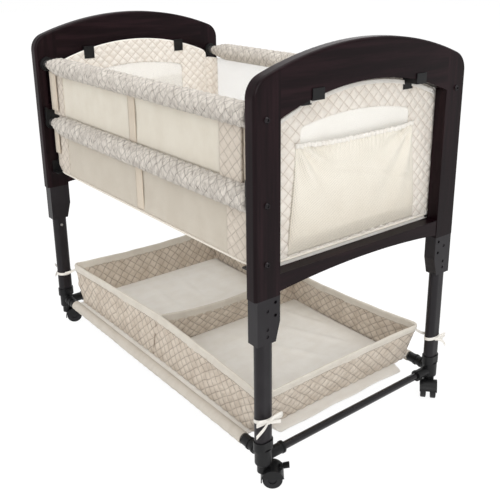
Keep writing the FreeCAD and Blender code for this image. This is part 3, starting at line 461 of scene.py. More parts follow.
def railPad(name, y, z, tall, body, node, seams):
    # a stuffed sleeve along X that is drawn in at its head end; seams are turns in degrees
    end, half = rails["end"], rails["half"]
    inside = 1 if y < 0 else -1
    around = fullTurn * math.sqrt((half ** 2 + tall ** 2) / 2)
    wholeRows = round(around / quilting["up"]) * quilting["up"]

    def place(s, t):
        x = -end + 2 * end * s
        away = x + end
        # the head end is drawn in over a long way and closed, the foot end only rounded off
        share = rails["tip"] + (1 - rails["tip"]) * smooth(away / rails["draw"]) ** 0.7
        share = share * np.sqrt(1 - (1 - np.clip(away / rails["headRound"], 0.02, 1)) ** 2)
        near = np.clip((end - x) / rails["footRound"], 0.0, 1)
        share = share * (0.80 + 0.20 * np.sqrt(1 - (1 - near) ** 2))
        angle = fullTurn * t + math.radians(rails["startTurn"])
        wander = 0.0008 * ripple(x, angle * 0.02, 3)
        return (x, y + inside * (half * share + wander) * np.cos(angle),
                z + (tall * share + wander) * np.sin(angle))

    def puff(u, v, s, t):
        angle = (360 * t + rails["startTurn"]) % 360
        groove = sum(np.exp(-((np.abs((angle - a + 180) % 360 - 180)) / 5.0) ** 2) for a in seams)
        fade = np.clip((1 - s) / 0.02, 0, 1)
        side = 0.05 * np.cos(np.radians(angle))
        swell = 0.5 + 0.5 * ripple(u * 1.6, side, 5)
        creases = np.sin(u * 460 + 5 * ripple(u, side * 3, 6)) * swell
        creases = creases + 0.8 * np.sin(u * 250 + side * 260 + 5 * ripple(u, side * 3, 9))
        return (rails["puff"] * diamonds(u, v) + rails["crumple"] * creases
                - rails["seam"] * groove) * fade

    s, t = grid(rails["cells"])
    points = np.stack(np.broadcast_arrays(*place(s, t)), -1)
    along, side = 2 * end * s, 0.03 * np.cos(fullTurn * t)
    u = along + 0.0026 * ripple(along * 1.6, side, 7)
    v = t * wholeRows + 0.0022 * ripple(along * 1.6, side, 8)
    normal = normalsOf(points, "t")
    outward = np.sign(((points - (0, y, z)) * normal)[..., 1:].sum(-1).mean())
    points = points + outward * normal * puff(u, v, s, t)[..., None]
    index = np.arange(s.size).reshape(s.shape)
    table = index.copy()
    table[:, -1] = table[:, 0]
    faces, spots = [quads(table)], [quads(index)]
    allPoints, uv = points.reshape(-1, 3), np.stack([u, v], -1).reshape(-1, 2)
    for row in (0, -1):  # each end is closed by a fan round one point in its middle
        allPoints = np.concatenate([allPoints, points[row].mean(0)[None]])
        uv = np.concatenate([uv, uv[index[row, :1]]])
        for corners, kept in ((table[row], faces), (index[row], spots)):
            a, b, c = corners[0:-2:2], corners[1:-1:2], corners[2::2]
            kept.append(np.stack([np.full(len(a), len(allPoints) - 1), a, b, c], -1))
    piece = meshPiece(name, allPoints, np.concatenate(faces), uv[np.concatenate(spots)],
                      paints["railQuilt"])
    dressed(piece, body, node)


railPad("dropPad", -rails["y"], rails["top"], rails["half"], "drop_rail", "drop_rail_pad", (270,))
railPad("midPad", -rails["y"], rails["middle"], rails["tall"], "upper_frame", "mid_rail_pad",
        (78, 282))
railPad("backPad", rails["y"], rails["top"], rails["half"], "upper_frame", "back_rail_pad", (270,))
print("padded rails made")


walls = {"y": 0.262, "end": 0.4495, "around": 0.020, "turn": 0.013, "low": 0.4795,
         "lap": 0.6405, "lowerTop": 0.600, "top": 0.7535, "headJoint": -0.377,
         "footJoint": 0.345, "backJoint": 0.409, "corner": 0.040, "plain": 0.0012,
         "quilt": 0.0026, "relief": 0.0010, "hem": 0.497, "hemDepth": 0.0009}
frontY, backY = -walls["y"], walls["y"]
headX, footX, backX = walls["headJoint"], walls["footJoint"], walls["backJoint"]
low, lap, top = walls["low"], walls["lap"], walls["top"]


strips = {  # x at both ends, how far they stand out, z, mesh step, thickness, sway
    "frontUpperTape": ((-0.024, 0.008), (0.0014, 0.0014), (lap, top), 0.006, 0.0012, 0.0),
    "frontUpperTab": ((-0.447, -0.405), (0.0045, 0.0060), (0.652, 0.757), 0.005, 0.0022, -0.003),
    "frontLowerTape": ((-0.006, 0.026), (0.0016, 0.0016), (low + 0.004, walls["lowerTop"]),
                       0.006, 0.0012, 0.0),
    "frontLowerTab": ((-0.446, -0.416), (0.0045, 0.0060), (0.532, 0.598), 0.005, 0.0022, -0.002),
}


def roundEnd(x, y):  # a plan line from x on the wall y round its corner
    end, turned = math.copysign(walls["end"], x), y - math.copysign(walls["around"], y)
    plan = [(x, y), (end, y), (end, turned)]
    return plan if x > 0 else plan[::-1]


def planOf(corner, steps=8):
    # points of a plan line with its corners rounded, and the distance along it
    points = [np.array(corner[0])]
    for before, here, after in zip(corner, corner[1:], corner[2:]):
        before, here, after = map(np.array, (before, here, after))
        r = walls["turn"]
        a = here + (before - here) / np.linalg.norm(before - here) * r
        b = here + (after - here) / np.linalg.norm(after - here) * r
        for k in range(steps + 1):
            w = k / steps
            points.append((1 - w) ** 2 * a + 2 * w * (1 - w) * here + w * w * b)
    points.append(np.array(corner[-1]))
    points = np.array(points)
    along = np.concatenate([[0], np.cumsum(np.linalg.norm(np.diff(points, axis=0), axis=1))])
    return points, along


def wallPiece(name, corner, low, high, step, paint, thick=walls["plain"], puff=None, sway=0.0,
              seed=1, inward=1):
    points, along = planOf(corner)
    length = along[-1]
    flatLow = low(0.0) if callable(low) else low
    size = (length, high - flatLow)

    def place(s, t):
        x, y = (np.interp(s * length, along, points[:, axis]) for axis in (0, 1))
        bottom = low(x) if callable(low) else low
        z = bottom + (high - bottom) * t
        bow = np.sin(math.pi * s) * np.sin(math.pi * t)
        return x, y + inward * sway * (bow + 0.5 * ripple(x, z, seed) * bow ** 0.5), z

    cells = [max(4, round(side / step)) for side in size]
    return clothPiece(name, place, cells, size, paint, thick, puff,
                      spot=lambda s, t: (s * length + points[0, 0], flatLow + size[1] * t))


def quiltPiece(name, corner, low, high, paint="sideQuilt", relief=walls["relief"]):
    return wallPiece(name, corner, low, high, 0.004, paint, walls["quilt"], quilted(relief))


def strip(name):  # a tape or tab on the front wall
    xs, lifts, (low, high), step, thick, sway = strips[name]
    plan = [(x, frontY - lift) for x, lift in zip(xs, lifts)]
    return wallPiece(name, plan, low, high, step, "tapeCloth", thick, sway=sway)


upperPieces = [
    wallPiece("frontUpperPanel", [(headX, frontY), (footX, frontY)], lap, top, 0.006,
              "plainWall", sway=0.003),
    quiltPiece("frontUpperHeadColumn", roundEnd(headX + 0.003, frontY), lap, top),
    wallPiece("frontUpperFootRecess", roundEnd(footX - 0.003, frontY), lap, top, 0.005,
              "tapeCloth"),
    quiltPiece("frontUpperFootColumn", [(footX - 0.004, frontY - 0.0042),
               (0.412, frontY - 0.0048)], lap, top, relief=0.0013),
    strip("frontUpperTape"),
    strip("frontUpperTab"),
]
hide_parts("nest_drop_wall")
for piece in upperPieces:  # each piece gets a mesh of its own
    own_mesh(piece)


def hemmed(u, v, s, t):  # a folded hem at the foot, with a groove where it is sewn
    band = smooth((walls["hem"] - v) / 0.0015) * walls["hemDepth"]
    return band - 0.0006 * np.exp(-((v - 0.487) / 0.0010) ** 2)


def cornerLow(x):  # the walls' lower corners at the head and foot are rounded off
    r = walls["corner"]
    over = np.clip(np.abs(x) - (0.448 - r), 0, r)
    return low + r - np.sqrt(np.maximum(r ** 2 - over ** 2, 1e-8))


high = walls["lowerTop"]
# painted shade: the lower panel takes the darker cloth that stands for the shadow under the rails
frontLower = wallPiece("frontLowerPanel", [(headX + 0.003, frontY), (footX + 0.014, frontY)],
                       low, high, 0.005, "lowerWall", puff=hemmed, sway=0.002, seed=5)
quiltPiece("frontLowerHeadColumn", roundEnd(headX + 0.006, frontY), cornerLow, high)
quiltPiece("frontLowerFootColumn", roundEnd(footX + 0.011, frontY), cornerLow, high)
strip("frontLowerTape")
strip("frontLowerTab")
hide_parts("nest_front_wall")

backNet = wallPiece("backNet", [(-0.412, backY), (0.412, backY)], low + 0.055, top, 0.008,
                    "backNet", 0.0008, sway=0.003, inward=-1)
quiltPiece("backHeadColumn", roundEnd(-backX, backY), cornerLow, top, "innerQuilt")
quiltPiece("backFootColumn", roundEnd(backX, backY), cornerLow, top, "innerQuilt")
quiltPiece("backLowerBorder", [(-0.410, backY), (0.410, backY)], low, low + 0.060, "innerQuilt")
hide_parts("nest_back_wall")
print("front and back walls made")


ends = {"x": 0.4495, "middle": 0.64, "count": 380, "border": 0.0026, "net": 0.0008,
        "edge": {"half": 0.246, "low": 0.4795, "apex": 0.8235, "radius": 0.604},
        "window": {"half": 0.157, "low": 0.530, "apex": 0.7570, "radius": 0.720},
        "archTop": 0.821, "clip": 0.146, "tapeHalf": 0.238, "skirt": 0.4665,
        "skirtHalf": 0.2445}


def reachTo(angle, shape, soften):
    # how far a ray from the wall's middle runs to an outline with an arched top
    c, s = np.cos(angle), np.sin(angle)
    side = shape["half"] / np.maximum(np.abs(c), 1e-6)
    down = np.where(s < 0, (ends["middle"] - shape["low"]) / np.maximum(-s, 1e-6), 9.0)
    lift = ends["middle"] - (shape["apex"] - shape["radius"])
    over = -lift * s + np.sqrt(np.maximum((lift * s) ** 2 - lift ** 2 + shape["radius"] ** 2, 0))
    reach = np.minimum(np.minimum(side, down), np.where(s > 0, over, 9.0))
    ring = reach[:-1]
    for _ in range(soften):
        ring = (np.roll(ring, 1) + ring * 2 + np.roll(ring, -1)) / 4
    return np.append(ring, ring[0])


def endWall(end, sign):
    count, middle = ends["count"], ends["middle"]
    angle = np.linspace(0, fullTurn, count + 1)
    outer, inner = reachTo(angle, ends["edge"], 3), reachTo(angle, ends["window"], 5)

    def ringPlace(s, t):
        at = nearest(s * count)
        reach = inner[at] + (outer[at] - inner[at]) * t
        y, z = reach * np.cos(angle[at]), middle + reach * np.sin(angle[at])
        return sign * ends["x"] + 0.0012 * ripple(y, z, 11) * np.sin(math.pi * t), y, z

    def netPlace(s, t):
        at = nearest(s * count)
        reach = (inner[at] + 0.004) * (0.002 + 0.998 * t)
        y, z = reach * np.cos(angle[at]), middle + reach * np.sin(angle[at])
        return sign * ends["x"] - sign * 0.002 * (1 - t ** 2) + 0.0006 * ripple(y, z, 12), y, z

    def tapePlace(s, t):  # a binding that stands out from the wall, just under the arch
        half, radius = ends["tapeHalf"], ends["edge"]["radius"]
        y = (2 * s - 1) * half
        edge = ends["archTop"] - radius + np.sqrt(radius ** 2 - y ** 2)
        drop = 0.0155 - 0.03 * y + 0.1 * y ** 2
        away = np.exp(-((np.abs(y) - ends["clip"]) / 0.017) ** 4)
        out = 0.0010 + 0.0090 * smooth(t / 0.4) * (1 - away) * smooth((half - np.abs(y)) / 0.02)
        z = edge - drop + 0.008 * np.clip((t - 0.4) / 0.6, 0, 1) + 0.0005 * ripple(y, y, 13)
        return sign * (ends["x"] + 0.0006 + out), y, z

    def skirtPlace(s, t):  # the strip that hangs below the border, over the lower rail
        y = (2 * s - 1) * ends["skirtHalf"]
        z = ends["skirt"] + (ends["edge"]["low"] + 0.003 - ends["skirt"]) * t
        return sign * (ends["x"] + 0.0014 + 0.0008 * (1 - t)) + 0.0004 * ripple(y, z, 14), y, z

    clothPiece(end + "WallBorder", ringPlace, (count, 40), (0.492, 0.335),
               "wallQuilt" if sign > 0 else "innerQuilt", ends["border"], quilted(0.0014), "s",
               spot=lambda s, t: ringPlace(s, t)[1:],
               node="nest_" + end + "_wall")
    clothPiece(end + "WindowNet", netPlace, (count, 16), (0.322, 0.226),
               "whiteNet" if sign > 0 else "headNet", ends["net"], None, "s",
               spot=lambda s, t: netPlace(s, t)[1:])
    clothPiece(end + "ArchTape", tapePlace, (240, 15), (0.50, 0.018), "whiteCloth", 0.0012)
    clothPiece(end + "Skirt", skirtPlace, (160, 6), (0.489, 0.016), "whiteCloth", 0.0014)


for end, sign in bothEnds:
    endWall(end, sign)


pocket = {"halfLow": 0.187, "halfHigh": 0.170, "low": 0.486, "high": 0.706, "sag": 0.005,
          "bulge": 0.012, "gather": 0.0008, "pleats": 640, "fold": 0.0052, "fanReach": 0.15,
          "crease": 0.645, "hem": 0.009}


def netPocket(end, sign):
    def fans(y, z):  # soft folds that spread down from the two upper corners, and one slant
        total = 0
        for side, phase in ((-1, 0.4), (1, 1.9)):
            dy, dz = y - side * (pocket["halfHigh"] + 0.004), pocket["high"] + 0.012 - z
            turn, far = np.arctan2(-side * dy, dz), np.hypot(dy, dz)
            fade = np.exp(-(far / pocket["fanReach"]) ** 2)
            total = total + np.cos(13 * turn + phase) * fade * smooth(far / 0.05)
        slant = z - pocket["crease"] + 0.26 * (y + 0.06)
        return total - 0.5 * np.exp(-(slant / 0.005) ** 2) * smooth((y + 0.10) / 0.05)

    def gathered(y):
        return np.sin(y * pocket["pleats"] + 2.0 * np.sin(y * 70))

    def place(s, t):
        wide = pocket["halfLow"] + (pocket["halfHigh"] - pocket["halfLow"]) * smooth(t)
        y = (2 * s - 1) * wide
        top = pocket["high"] - pocket["sag"] * (1 - (2 * s - 1) ** 2)
        z = pocket["low"] + (top - pocket["low"]) * t
        edge = np.minimum(1, np.minimum(s, 1 - s) / 0.06) ** 0.5
        foot = smooth(t / 0.18)
        gathers = gathered(y) * smooth((t - 0.72) / 0.28)
        belly = 0.35 + 0.65 * np.sin(math.pi * np.clip(t * 0.8 + 0.15, 0, 1))
        depth = (pocket["bulge"] * belly + pocket["gather"] * gathers
                 + pocket["fold"] * (fans(y, z) + 0.5 * ripple(y * 0.8, z * 0.8, 21)) * foot)
        return sign * (ends["x"] + 0.0022 + depth * edge * foot), y, z

    def hemPlace(s, t):
        x, y, z = place(s, np.ones_like(t))
        ruffle = 0.0009 * gathered(y) + 0.0006 * np.sin(y * 300 + 1)
        return (x + sign * (0.0012 + ruffle), y,
                z - pocket["hem"] * 0.5 + pocket["hem"] * t + 0.0008 * np.sin(y * 410))

    clothPiece(end + "Pocket", place, (240, 60), (0.38, 0.22), "pocketNet", 0.0008,
               node="mesh_pockets")
    clothPiece(end + "PocketHem", hemPlace, (320, 4), (0.36, 0.009), "whiteCloth", 0.0022)


for end, sign in bothEnds:
    netPocket(end, sign)
print("end walls and pockets made")


bed = {"half": (0.4515, 0.2635), "corner": 0.040, "z": 0.479, "thick": 0.002,
       "padHalf": (0.424, 0.238), "padLow": 0.4990, "padHigh": 0.5290, "padCorner": 0.042,
       "voxel": 0.008, "pressure": 4.0, "mostSwell": 0.006, "frames": 20, "fill": 0.7}


def plateReach(angle, half, corner):  # from the middle to a rounded oblong's edge
    c, s = np.cos(angle), np.sin(angle)
    far = np.minimum(half[0] / np.maximum(np.abs(c), 1e-9), half[1] / np.maximum(np.abs(s), 1e-9))
    cx, cy = half[0] - corner, half[1] - corner
    x, y = np.abs(far * c), np.abs(far * s)
    along = np.abs(c) * cx + np.abs(s) * cy
    inside = along ** 2 - (cx ** 2 + cy ** 2 - corner ** 2)
    rounded = along + np.sqrt(np.maximum(inside, 0))
    return np.where((x > cx) & (y > cy), rounded, far)


def floorPlace(s, t):
    turn = fullTurn * s
    reach = plateReach(turn, bed["half"], bed["corner"]) * (0.01 + 0.99 * t)
    return reach * np.cos(turn), reach * np.sin(turn), np.full_like(reach, bed["z"])


clothPiece("nestFloorCloth", floorPlace, (288, 12), (0.903, 0.527), "whiteCloth", bed["thick"],
           None, "s", spot=lambda s, t: floorPlace(s, t)[:2], node="nest_floor")


def mattressForm():  # a closed oblong with rounded edges, before it is blown up
    half, corner = bed["padHalf"], bed["padCorner"]
    rows = [(0.0, 0.60), (0.0, 0.88), (0.10, 0.965), (0.35, 1.0), (0.65, 1.0), (0.9, 0.965),
            (1.0, 0.88), (1.0, 0.60)]  # share of the height, share of the reach
    points, faces = [], []
    turn = np.linspace(0, fullTurn, 145)[:-1]
    for rise, share in rows:
        reach = plateReach(turn, half, corner) - (1 - share) * 0.10
        z = bed["padLow"] + (bed["padHigh"] - bed["padLow"]) * rise
        points += [(r * math.cos(a), r * math.sin(a), z) for r, a in zip(reach, turn)]
    n = len(turn)
    for row in range(len(rows) - 1):
        for k in range(n):
            a, b = row * n + k, row * n + (k + 1) % n
            faces.append((a, b, b + n, a + n))
    faces.append(tuple(reversed(range(n))))
    faces.append(tuple(range((len(rows) - 1) * n, len(rows) * n)))
    mesh = bpy.data.meshes.new("mattressPad")
    mesh.from_pydata(points, [], faces)
    return inScene("mattressPad", mesh)


def settle(piece):
    # blows the closed form up a little as cloth, so that it crowns like a filled pad
    remesh = piece.modifiers.new("remesh", "REMESH")
    remesh.mode, remesh.voxel_size = "VOXEL", bed["voxel"]
    applied(piece)
    start = np.zeros(len(piece.data.vertices) * 3)
    piece.data.vertices.foreach_get("co", start)
    cloth = piece.modifiers.new("cloth", "CLOTH")
    cloth.settings.use_pressure = True
    cloth.settings.uniform_pressure_force = bed["pressure"]
    cloth.settings.effector_weights.gravity = 0
    cloth.settings.quality = 5
    cloth.point_cache.frame_start, cloth.point_cache.frame_end = 1, bed["frames"]
    for moment in range(1, bed["frames"] + 1):
        bpy.context.scene.frame_set(moment)
    applied(piece)
    bpy.context.scene.frame_set(1)
    settled = np.zeros_like(start)
    piece.data.vertices.foreach_get("co", settled)
    move = (settled - start).reshape(-1, 3)
    far = np.linalg.norm(move, axis=1, keepdims=True)
    move *= np.minimum(1, bed["mostSwell"] / np.maximum(far, 1e-9))
    piece.data.vertices.foreach_set("co", start + move.ravel())
    piece.data.update()


def applied(piece):  # the evaluated mesh takes the place of mesh and modifiers
    graph = bpy.context.evaluated_depsgraph_get()
    fresh = bpy.data.meshes.new_from_object(piece.evaluated_get(graph))
    old = piece.data
    piece.modifiers.clear()
    piece.data = fresh
    bpy.data.meshes.remove(old)


mattressPad = mattressForm()
settle(mattressPad)
mesh = mattressPad.data
mesh.materials.clear()
mesh.materials.append(paints["sheetCloth"])
layer = mesh.uv_layers.new(name="cloth")
for loop in mesh.loops:
    layer.data[loop.index].uv = mesh.vertices[loop.vertex_index].co.xy
mesh.shade_smooth()
dressed(mattressPad, "upper_frame", "mattress")
print("nest floor and mattress made")


basket = {"low": 0.080, "high": 0.188, "lowHalf": (0.412, 0.245), "highHalf": (0.448, 0.2485),
          "lowBow": (0.002, 0.003), "highBow": (0.008, 0.024), "wall": 0.005, "band": 0.020,
          "lap": 0.004, "corner": 0.016, "divider": -0.010, "dividerHigh": 0.183,
          "dip": 0.016, "puff": 0.0024, "pinch": 0.0045, "pinchAt": (0.24, 0.76),
          "seamZ": (0.083, 0.168), "sideCells": (150, 300), "cornerCells": 6}


def basketRing():
    # for each column round the basket: its side, how far along it, and how far round its corner
    rows = []
    for side in range(4):
        n = basket["sideCells"][side % 2]
        rows += [(side, k / n, 0.0) for k in range(n)]
        rows += [(side, 1.0, k / basket["cornerCells"]) for k in range(basket["cornerCells"])]
    rows.append((0, 0.0, 0.0))
    return np.array(rows)


ringRows = basketRing()


def atHeight(key, axis, share):  # the basket's walls lean out from their low to their high plan
    low, high = basket["low" + key][axis], basket["high" + key][axis]
    return low + (high - low) * share


def shareOf(z):
    return (z - basket["low"]) / (basket["high"] - basket["low"])


def basketPoint(column, z, inset=0.0):
    share = shareOf(z)
    a, b = atHeight("Half", 0, share) - inset, atHeight("Half", 1, share) - inset
    bowX, bowY = atHeight("Bow", 0, share), atHeight("Bow", 1, share)
    r = max(basket["corner"] - inset, 0.004)
    side, k, turn = np.moveaxis(ringRows[column], -1, 0)
    spanY, spanX = b - r, a - r
    f = 2 * k - 1
    swing = turn * math.pi / 2
    # the first side runs along +Y at +X, and the next ones follow anticlockwise
    x0, y0 = a - bowX * (1 - f ** 2) - r * (1 - np.cos(swing)), f * spanY + r * np.sin(swing)
    x1, y1 = -f * spanX - r * np.sin(swing), b - bowY * (1 - f ** 2) - r * (1 - np.cos(swing))
    x = np.select([side == 0, side == 1, side == 2], [x0, x1, -x0], -x1)
    y = np.select([side == 0, side == 1, side == 2], [y0, y1, -y0], -y1)
    return x, y


columns = len(ringRows) - 1
rim = np.stack(basketPoint(np.arange(columns + 1), np.full(columns + 1, 0.150)), -1)
roundTheRim = np.concatenate([[0], np.cumsum(np.linalg.norm(np.diff(rim, axis=0), axis=1))])
rimLength = roundTheRim[-1]


def rimDip(column):
    side, k, _ = np.moveaxis(ringRows[column], -1, 0)
    sag = np.sin(math.pi * k)
    split = np.where(side % 2 == 1, np.abs(np.sin(fullTurn * (k + 0.006))), sag)
    return -0.004 * split + 0.0012 * ripple(roundTheRim[column] * 3, 0, 31)


def basketPlace(low, high, inset):
    def place(s, t):
        column = nearest(s * columns)
        bottom, top = (z + (rimDip(column) if z > 0.16 else 0.0) for z in (low, high))
        z = bottom + (top - bottom) * t
        x, y = basketPoint(column, z, inset)
        side, k, _ = np.moveaxis(ringRows[column], -1, 0)
        pinch = sum(np.exp(-((k - at) / 0.016) ** 2) for at in basket["pinchAt"])
        wobble = 0.0042 * ripple(roundTheRim[column] * 2.6, z * 7, 33)
        wobble = wobble - basket["pinch"] * (side % 2 == 1) * pinch
        share = wobble * np.sin(math.pi * np.clip((z - 0.08) / 0.108, 0, 1)) / np.hypot(x, y)
        return x * (1 + share), y * (1 + share), z
    return place


def roundSpot(size):  # the cloth's own measure round the rim and up the wall
    def spot(s, t):
        column = nearest(s * columns)
        return roundTheRim[column], size * t
    return spot


def rounded(t, lowest=0.03):  # the half round of a folded band's top edge
    return np.sqrt(1 - (1 - np.clip((1 - t) / 0.22, lowest, 1)) ** 2)


def bandThick(s, t):
    return (basket["wall"] / 2 + 0.0012) * rounded(t) * np.sqrt(np.clip(t / 0.08, 0.3, 1))


bandLow = basket["high"] - basket["band"]
wallHigh = bandLow + basket["lap"]
clothPiece("basketWall", basketPlace(basket["low"], wallHigh, basket["wall"] / 2), (columns, 34),
           (rimLength, 0.095), "basketQuilt", basket["wall"] - 0.0020, quilted(basket["puff"]),
           "s", body="lower_frame",
           spot=roundSpot(wallHigh - basket["low"]),
           node="storage_basket")
clothPiece("basketRimBand", basketPlace(bandLow, basket["high"] + 0.0008, basket["wall"] / 2),
           (columns, 14), (rimLength, 0.024), "rimCloth", bandThick, None, "s",
           body="lower_frame", spot=roundSpot(0.022))


def dividerPlace(low, high):
    def place(s, t):
        f = 2 * s - 1
        top = basket["dividerHigh"] - basket["dip"] * (1 - f ** 2)
        z = low(top) + (high(top) - low(top)) * t
        share = shareOf(z)
        half = atHeight("Half", 1, share) - atHeight("Bow", 1, share) - 0.0045
        lean = 0.010 * np.sin(math.pi * s) * share + 0.0014 * ripple(f, z * 5, 41)
        return basket["divider"] + lean, f * half, z
    return place


def dividerThick(s, t):
    gather = 0.0007 * np.sin(s * 260) * np.exp(-((s - 0.55) / 0.16) ** 2)
    return (0.0030 + gather) * rounded(t)


clothPiece("dividerQuilt", dividerPlace(lambda top: 0.085, lambda top: top - 0.018), (200, 34),
           (0.46, 0.085), "basketQuilt", 0.0042, quilted(basket["puff"]), body="lower_frame",
           spot=lambda s, t: (s * 0.46, 0.08 * t),
           node="basket_divider")
clothPiece("dividerBand", dividerPlace(lambda top: top - 0.022, lambda top: top + 0.001),
           (240, 12), (0.46, 0.023), "rimCloth", dividerThick, body="lower_frame")


floors = {"z": 0.0885, "thick": 0.002, "half": 0.2365, "waist": 0.004,
          # a fold's two ends, its width and its height
          "footFolds": [((0.02, -0.05), (0.36, 0.10), 0.014, 0.0032),
                        ((0.05, 0.08), (0.34, 0.19), 0.012, 0.0026),
                        ((0.10, -0.16), (0.39, -0.02), 0.015, 0.0024),
                        ((0.00, 0.16), (0.22, 0.20), 0.010, 0.0022)],
          "headFolds": [((-0.38, -0.04), (-0.06, -0.07), 0.013, 0.0030),
                        ((-0.36, 0.06), (-0.10, 0.02), 0.012, 0.0022),
                        ((-0.39, 0.15), (-0.05, 0.16), 0.016, 0.0018)]}


def foldsOf(x, y, lines):  # height of the soft creases that run along lines
    height = np.zeros_like(x)
    for (ax, ay), (bx, by), width, tall in lines:
        dx, dy = bx - ax, by - ay
        length = math.hypot(dx, dy)
        along = ((x - ax) * dx + (y - ay) * dy) / length ** 2
        off = ((x - ax) * -dy + (y - ay) * dx) / length
        window = smooth(along / 0.25) * smooth((1 - along) / 0.4)
        height = height + tall * np.exp(-((off + 0.006 * np.sin(along * 5)) / width) ** 2) * window
    return height


def floorPiece(name, x0, x1, lines, seed, node=None):
    def place(s, t):
        x = x0 + (x1 - x0) * s
        y = (2 * t - 1) * (floors["half"] - floors["waist"] * (1 - (2 * s - 1) ** 2))
        edge = smooth(np.minimum(np.minimum(s, 1 - s) / 0.06, np.minimum(t, 1 - t) / 0.06))
        z = floors["z"] + edge * (foldsOf(x, y, lines) + 0.0009 * (ripple(x, y, seed) + 1))
        return x, y, z

    clothPiece(name, place, (110, 120), (abs(x1 - x0), 2 * floors["half"]), "sheetCloth",
               floors["thick"], body="lower_frame",
               node=node)


floorPiece("basketFootFloor", -0.006, 0.408, floors["footFolds"], 51, "basket_floor_boards")
floorPiece("basketHeadFloor", -0.408, -0.014, floors["headFolds"], 52)


sling = {"z": 0.0785, "half": (0.442, 0.205), "sideY": 0.2605, "sideX": 0.405, "edge": 0.037,
         "area": 0.44, "sleeve": 0.0120, "sleeveHalf": 0.4065, "around": 0.0754,
         "tubeZ": 0.074, "tubeY": 0.267, "cloth": 0.0014}


def slingPlace(s, t):
    y = (2 * t - 1) * sling["sideY"]
    wide = smooth((np.abs(y) - sling["half"][1] + 0.012) / 0.014)
    reach = sling["half"][0] + (sling["sideX"] - sling["half"][0]) * wide
    x = (2 * s - 1) * (reach + 0.0012 * np.sin(y * 46) * (1 - wide))
    edge = np.clip((np.abs(x) - sling["sideX"]) / sling["edge"], 0, 1)
    hang = 0.0035 * (1 - 0.5 * np.cos(y * 12)) - 0.0016 * ripple(x * 1.5, y * 1.5, 61)
    return x, y, sling["z"] - hang * edge


def sleeve(name, sign):  # the sling's cloth goes round each side tube
    def place(s, t):
        x, angle = (2 * s - 1) * sling["sleeveHalf"], fullTurn * t
        tuck = 0.0006 * np.sin(x * 210 + 2 * np.sin(x * 30)) * np.clip(-np.sin(angle), 0, 1)
        r = sling["sleeve"] + 0.0007 * ripple(x * 3, 0.02 * np.cos(angle), 62) + tuck
        return x, sign * (sling["tubeY"] + r * np.cos(angle)), sling["tubeZ"] + r * np.sin(angle)

    clothPiece(name, place, (260, 28), (2 * sling["sleeveHalf"], sling["around"]),
               "sleeveCloth", sling["cloth"], None, "t", body="lower_frame")


clothPiece("slingCloth", slingPlace, (200, 120), (0.884, 2 * sling["sideY"]), "whiteCloth",
           sling["cloth"], body="lower_frame",
           node="basket_sling")
sleeve("slingSleeveFront", -1)
sleeve("slingSleeveBack", 1)
print("basket and sling made")


tie = {"width": 0.0085, "bandWidth": 0.0075, "knotWidth": 0.0095, "thick": 0.0011, "z": 0.159,
       "leg": (0.472, 0.267), "around": (0.0150, 0.0212), "rim": (0.4405, 0.2435)}
bows = {  # where each tape runs from the knot, in mm: out from the leg, across, and up
    "bow": {"loopA": ((0, 0, 0), (6, 10, 8), (6, 27, 12), (2, 31, 4), (0, 16, 1), (0, 0, 0)),
            "loopB": ((0, 0, 0), (6, -12, 9), (6, -30, 10), (2, -34, 1), (0, -16, -1),
                      (0, 0, 0)),
            "tailA": ((1, 0, 0), (5, 14, -8), (5, 34, -20)),
            "tailB": ((1, 0, 0), (4, -14, -4), (4, -30, -9))},
    "loop": {"loopA": ((0, 0, 0), (4, 16, 7), (4, 26, 4), (2, 14, -2), (0, 0, 0)),
             "tailA": ((0, 0, 0), (4, 16, -10), (4, 30, -26))},
    "knot": {"tailA": ((0, 0, 0), (4, 10, 12), (4, 18, 22)),
             "tailB": ((0, 0, 0), (4, 12, -4), (4, 20, -14))},
}


def curveThrough(points, count):
    points = np.array(points, float)
    guides = np.concatenate([[2 * points[0] - points[1]], points, [2 * points[-1] - points[-2]]])
    out = []
    spans = len(points) - 1
    for k in np.linspace(0, spans, count):
        i = min(int(k), spans - 1)
        w = k - i
        a, b, c, d = guides[i:i + 4]
        out.append(0.5 * (2 * b + (c - a) * w + (2 * a - 5 * b + 4 * c - d) * w * w
                          + (3 * b - a - 3 * c + d) * w ** 3))
    return np.array(out)


def ribbon(name, points, width=tie["width"], count=60):
    # a flat tape along points, with its width upright
    line = curveThrough(points, count + 1)
    length = float(np.linalg.norm(np.diff(line, axis=0), axis=1).sum())

    def place(s, t):
        x, y, z = np.moveaxis(line[nearest(s * count)], -1, 0)
        return x, y, z + (t - 0.5) * width

    return clothPiece(name, place, (count, 4), (length, width), "whiteCloth", tie["thick"],
                      body="lower_frame")


def legTies(corner, sx, sy, kind):
    (x, y), z = tie["leg"], tie["z"]
    (hx, hy), (rimX, rimY) = tie["around"], tie["rim"]
    out = x + hx + 0.0015  # just off the leg's outer face

    def turned(points):
        return [(sx * a, sy * b, c) for a, b, c in points]

    band = ribbon("tieBand_" + corner, turned(
        (x + hx * math.cos(a), y + hy * math.sin(a), z + 0.002 * math.sin(a + 1))
        for a in np.linspace(0, fullTurn, 17)), tie["bandWidth"])
    ribbon("tieStrap_" + corner, turned(
        [(x - hx, y + 0.004, z + 0.001), (x - 0.020, y - 0.010, z + 0.003),
         (rimX + 0.004, rimY + 0.004, 0.168), (rimX, rimY, 0.172)]), tie["bandWidth"], 24)
    for part, steps in bows[kind].items():
        ribbon("tie_" + corner + "_" + part, turned(
            (out + a / 1000, y + b / 1000, z + c / 1000) for a, b, c in steps))
    ribbon("tieKnot_" + corner, turned(
        [(out - 0.002, y - 0.005, z), (out + 0.004, y, z + 0.001), (out - 0.002, y + 0.005, z)]),
        tie["knotWidth"], 16)
    return band


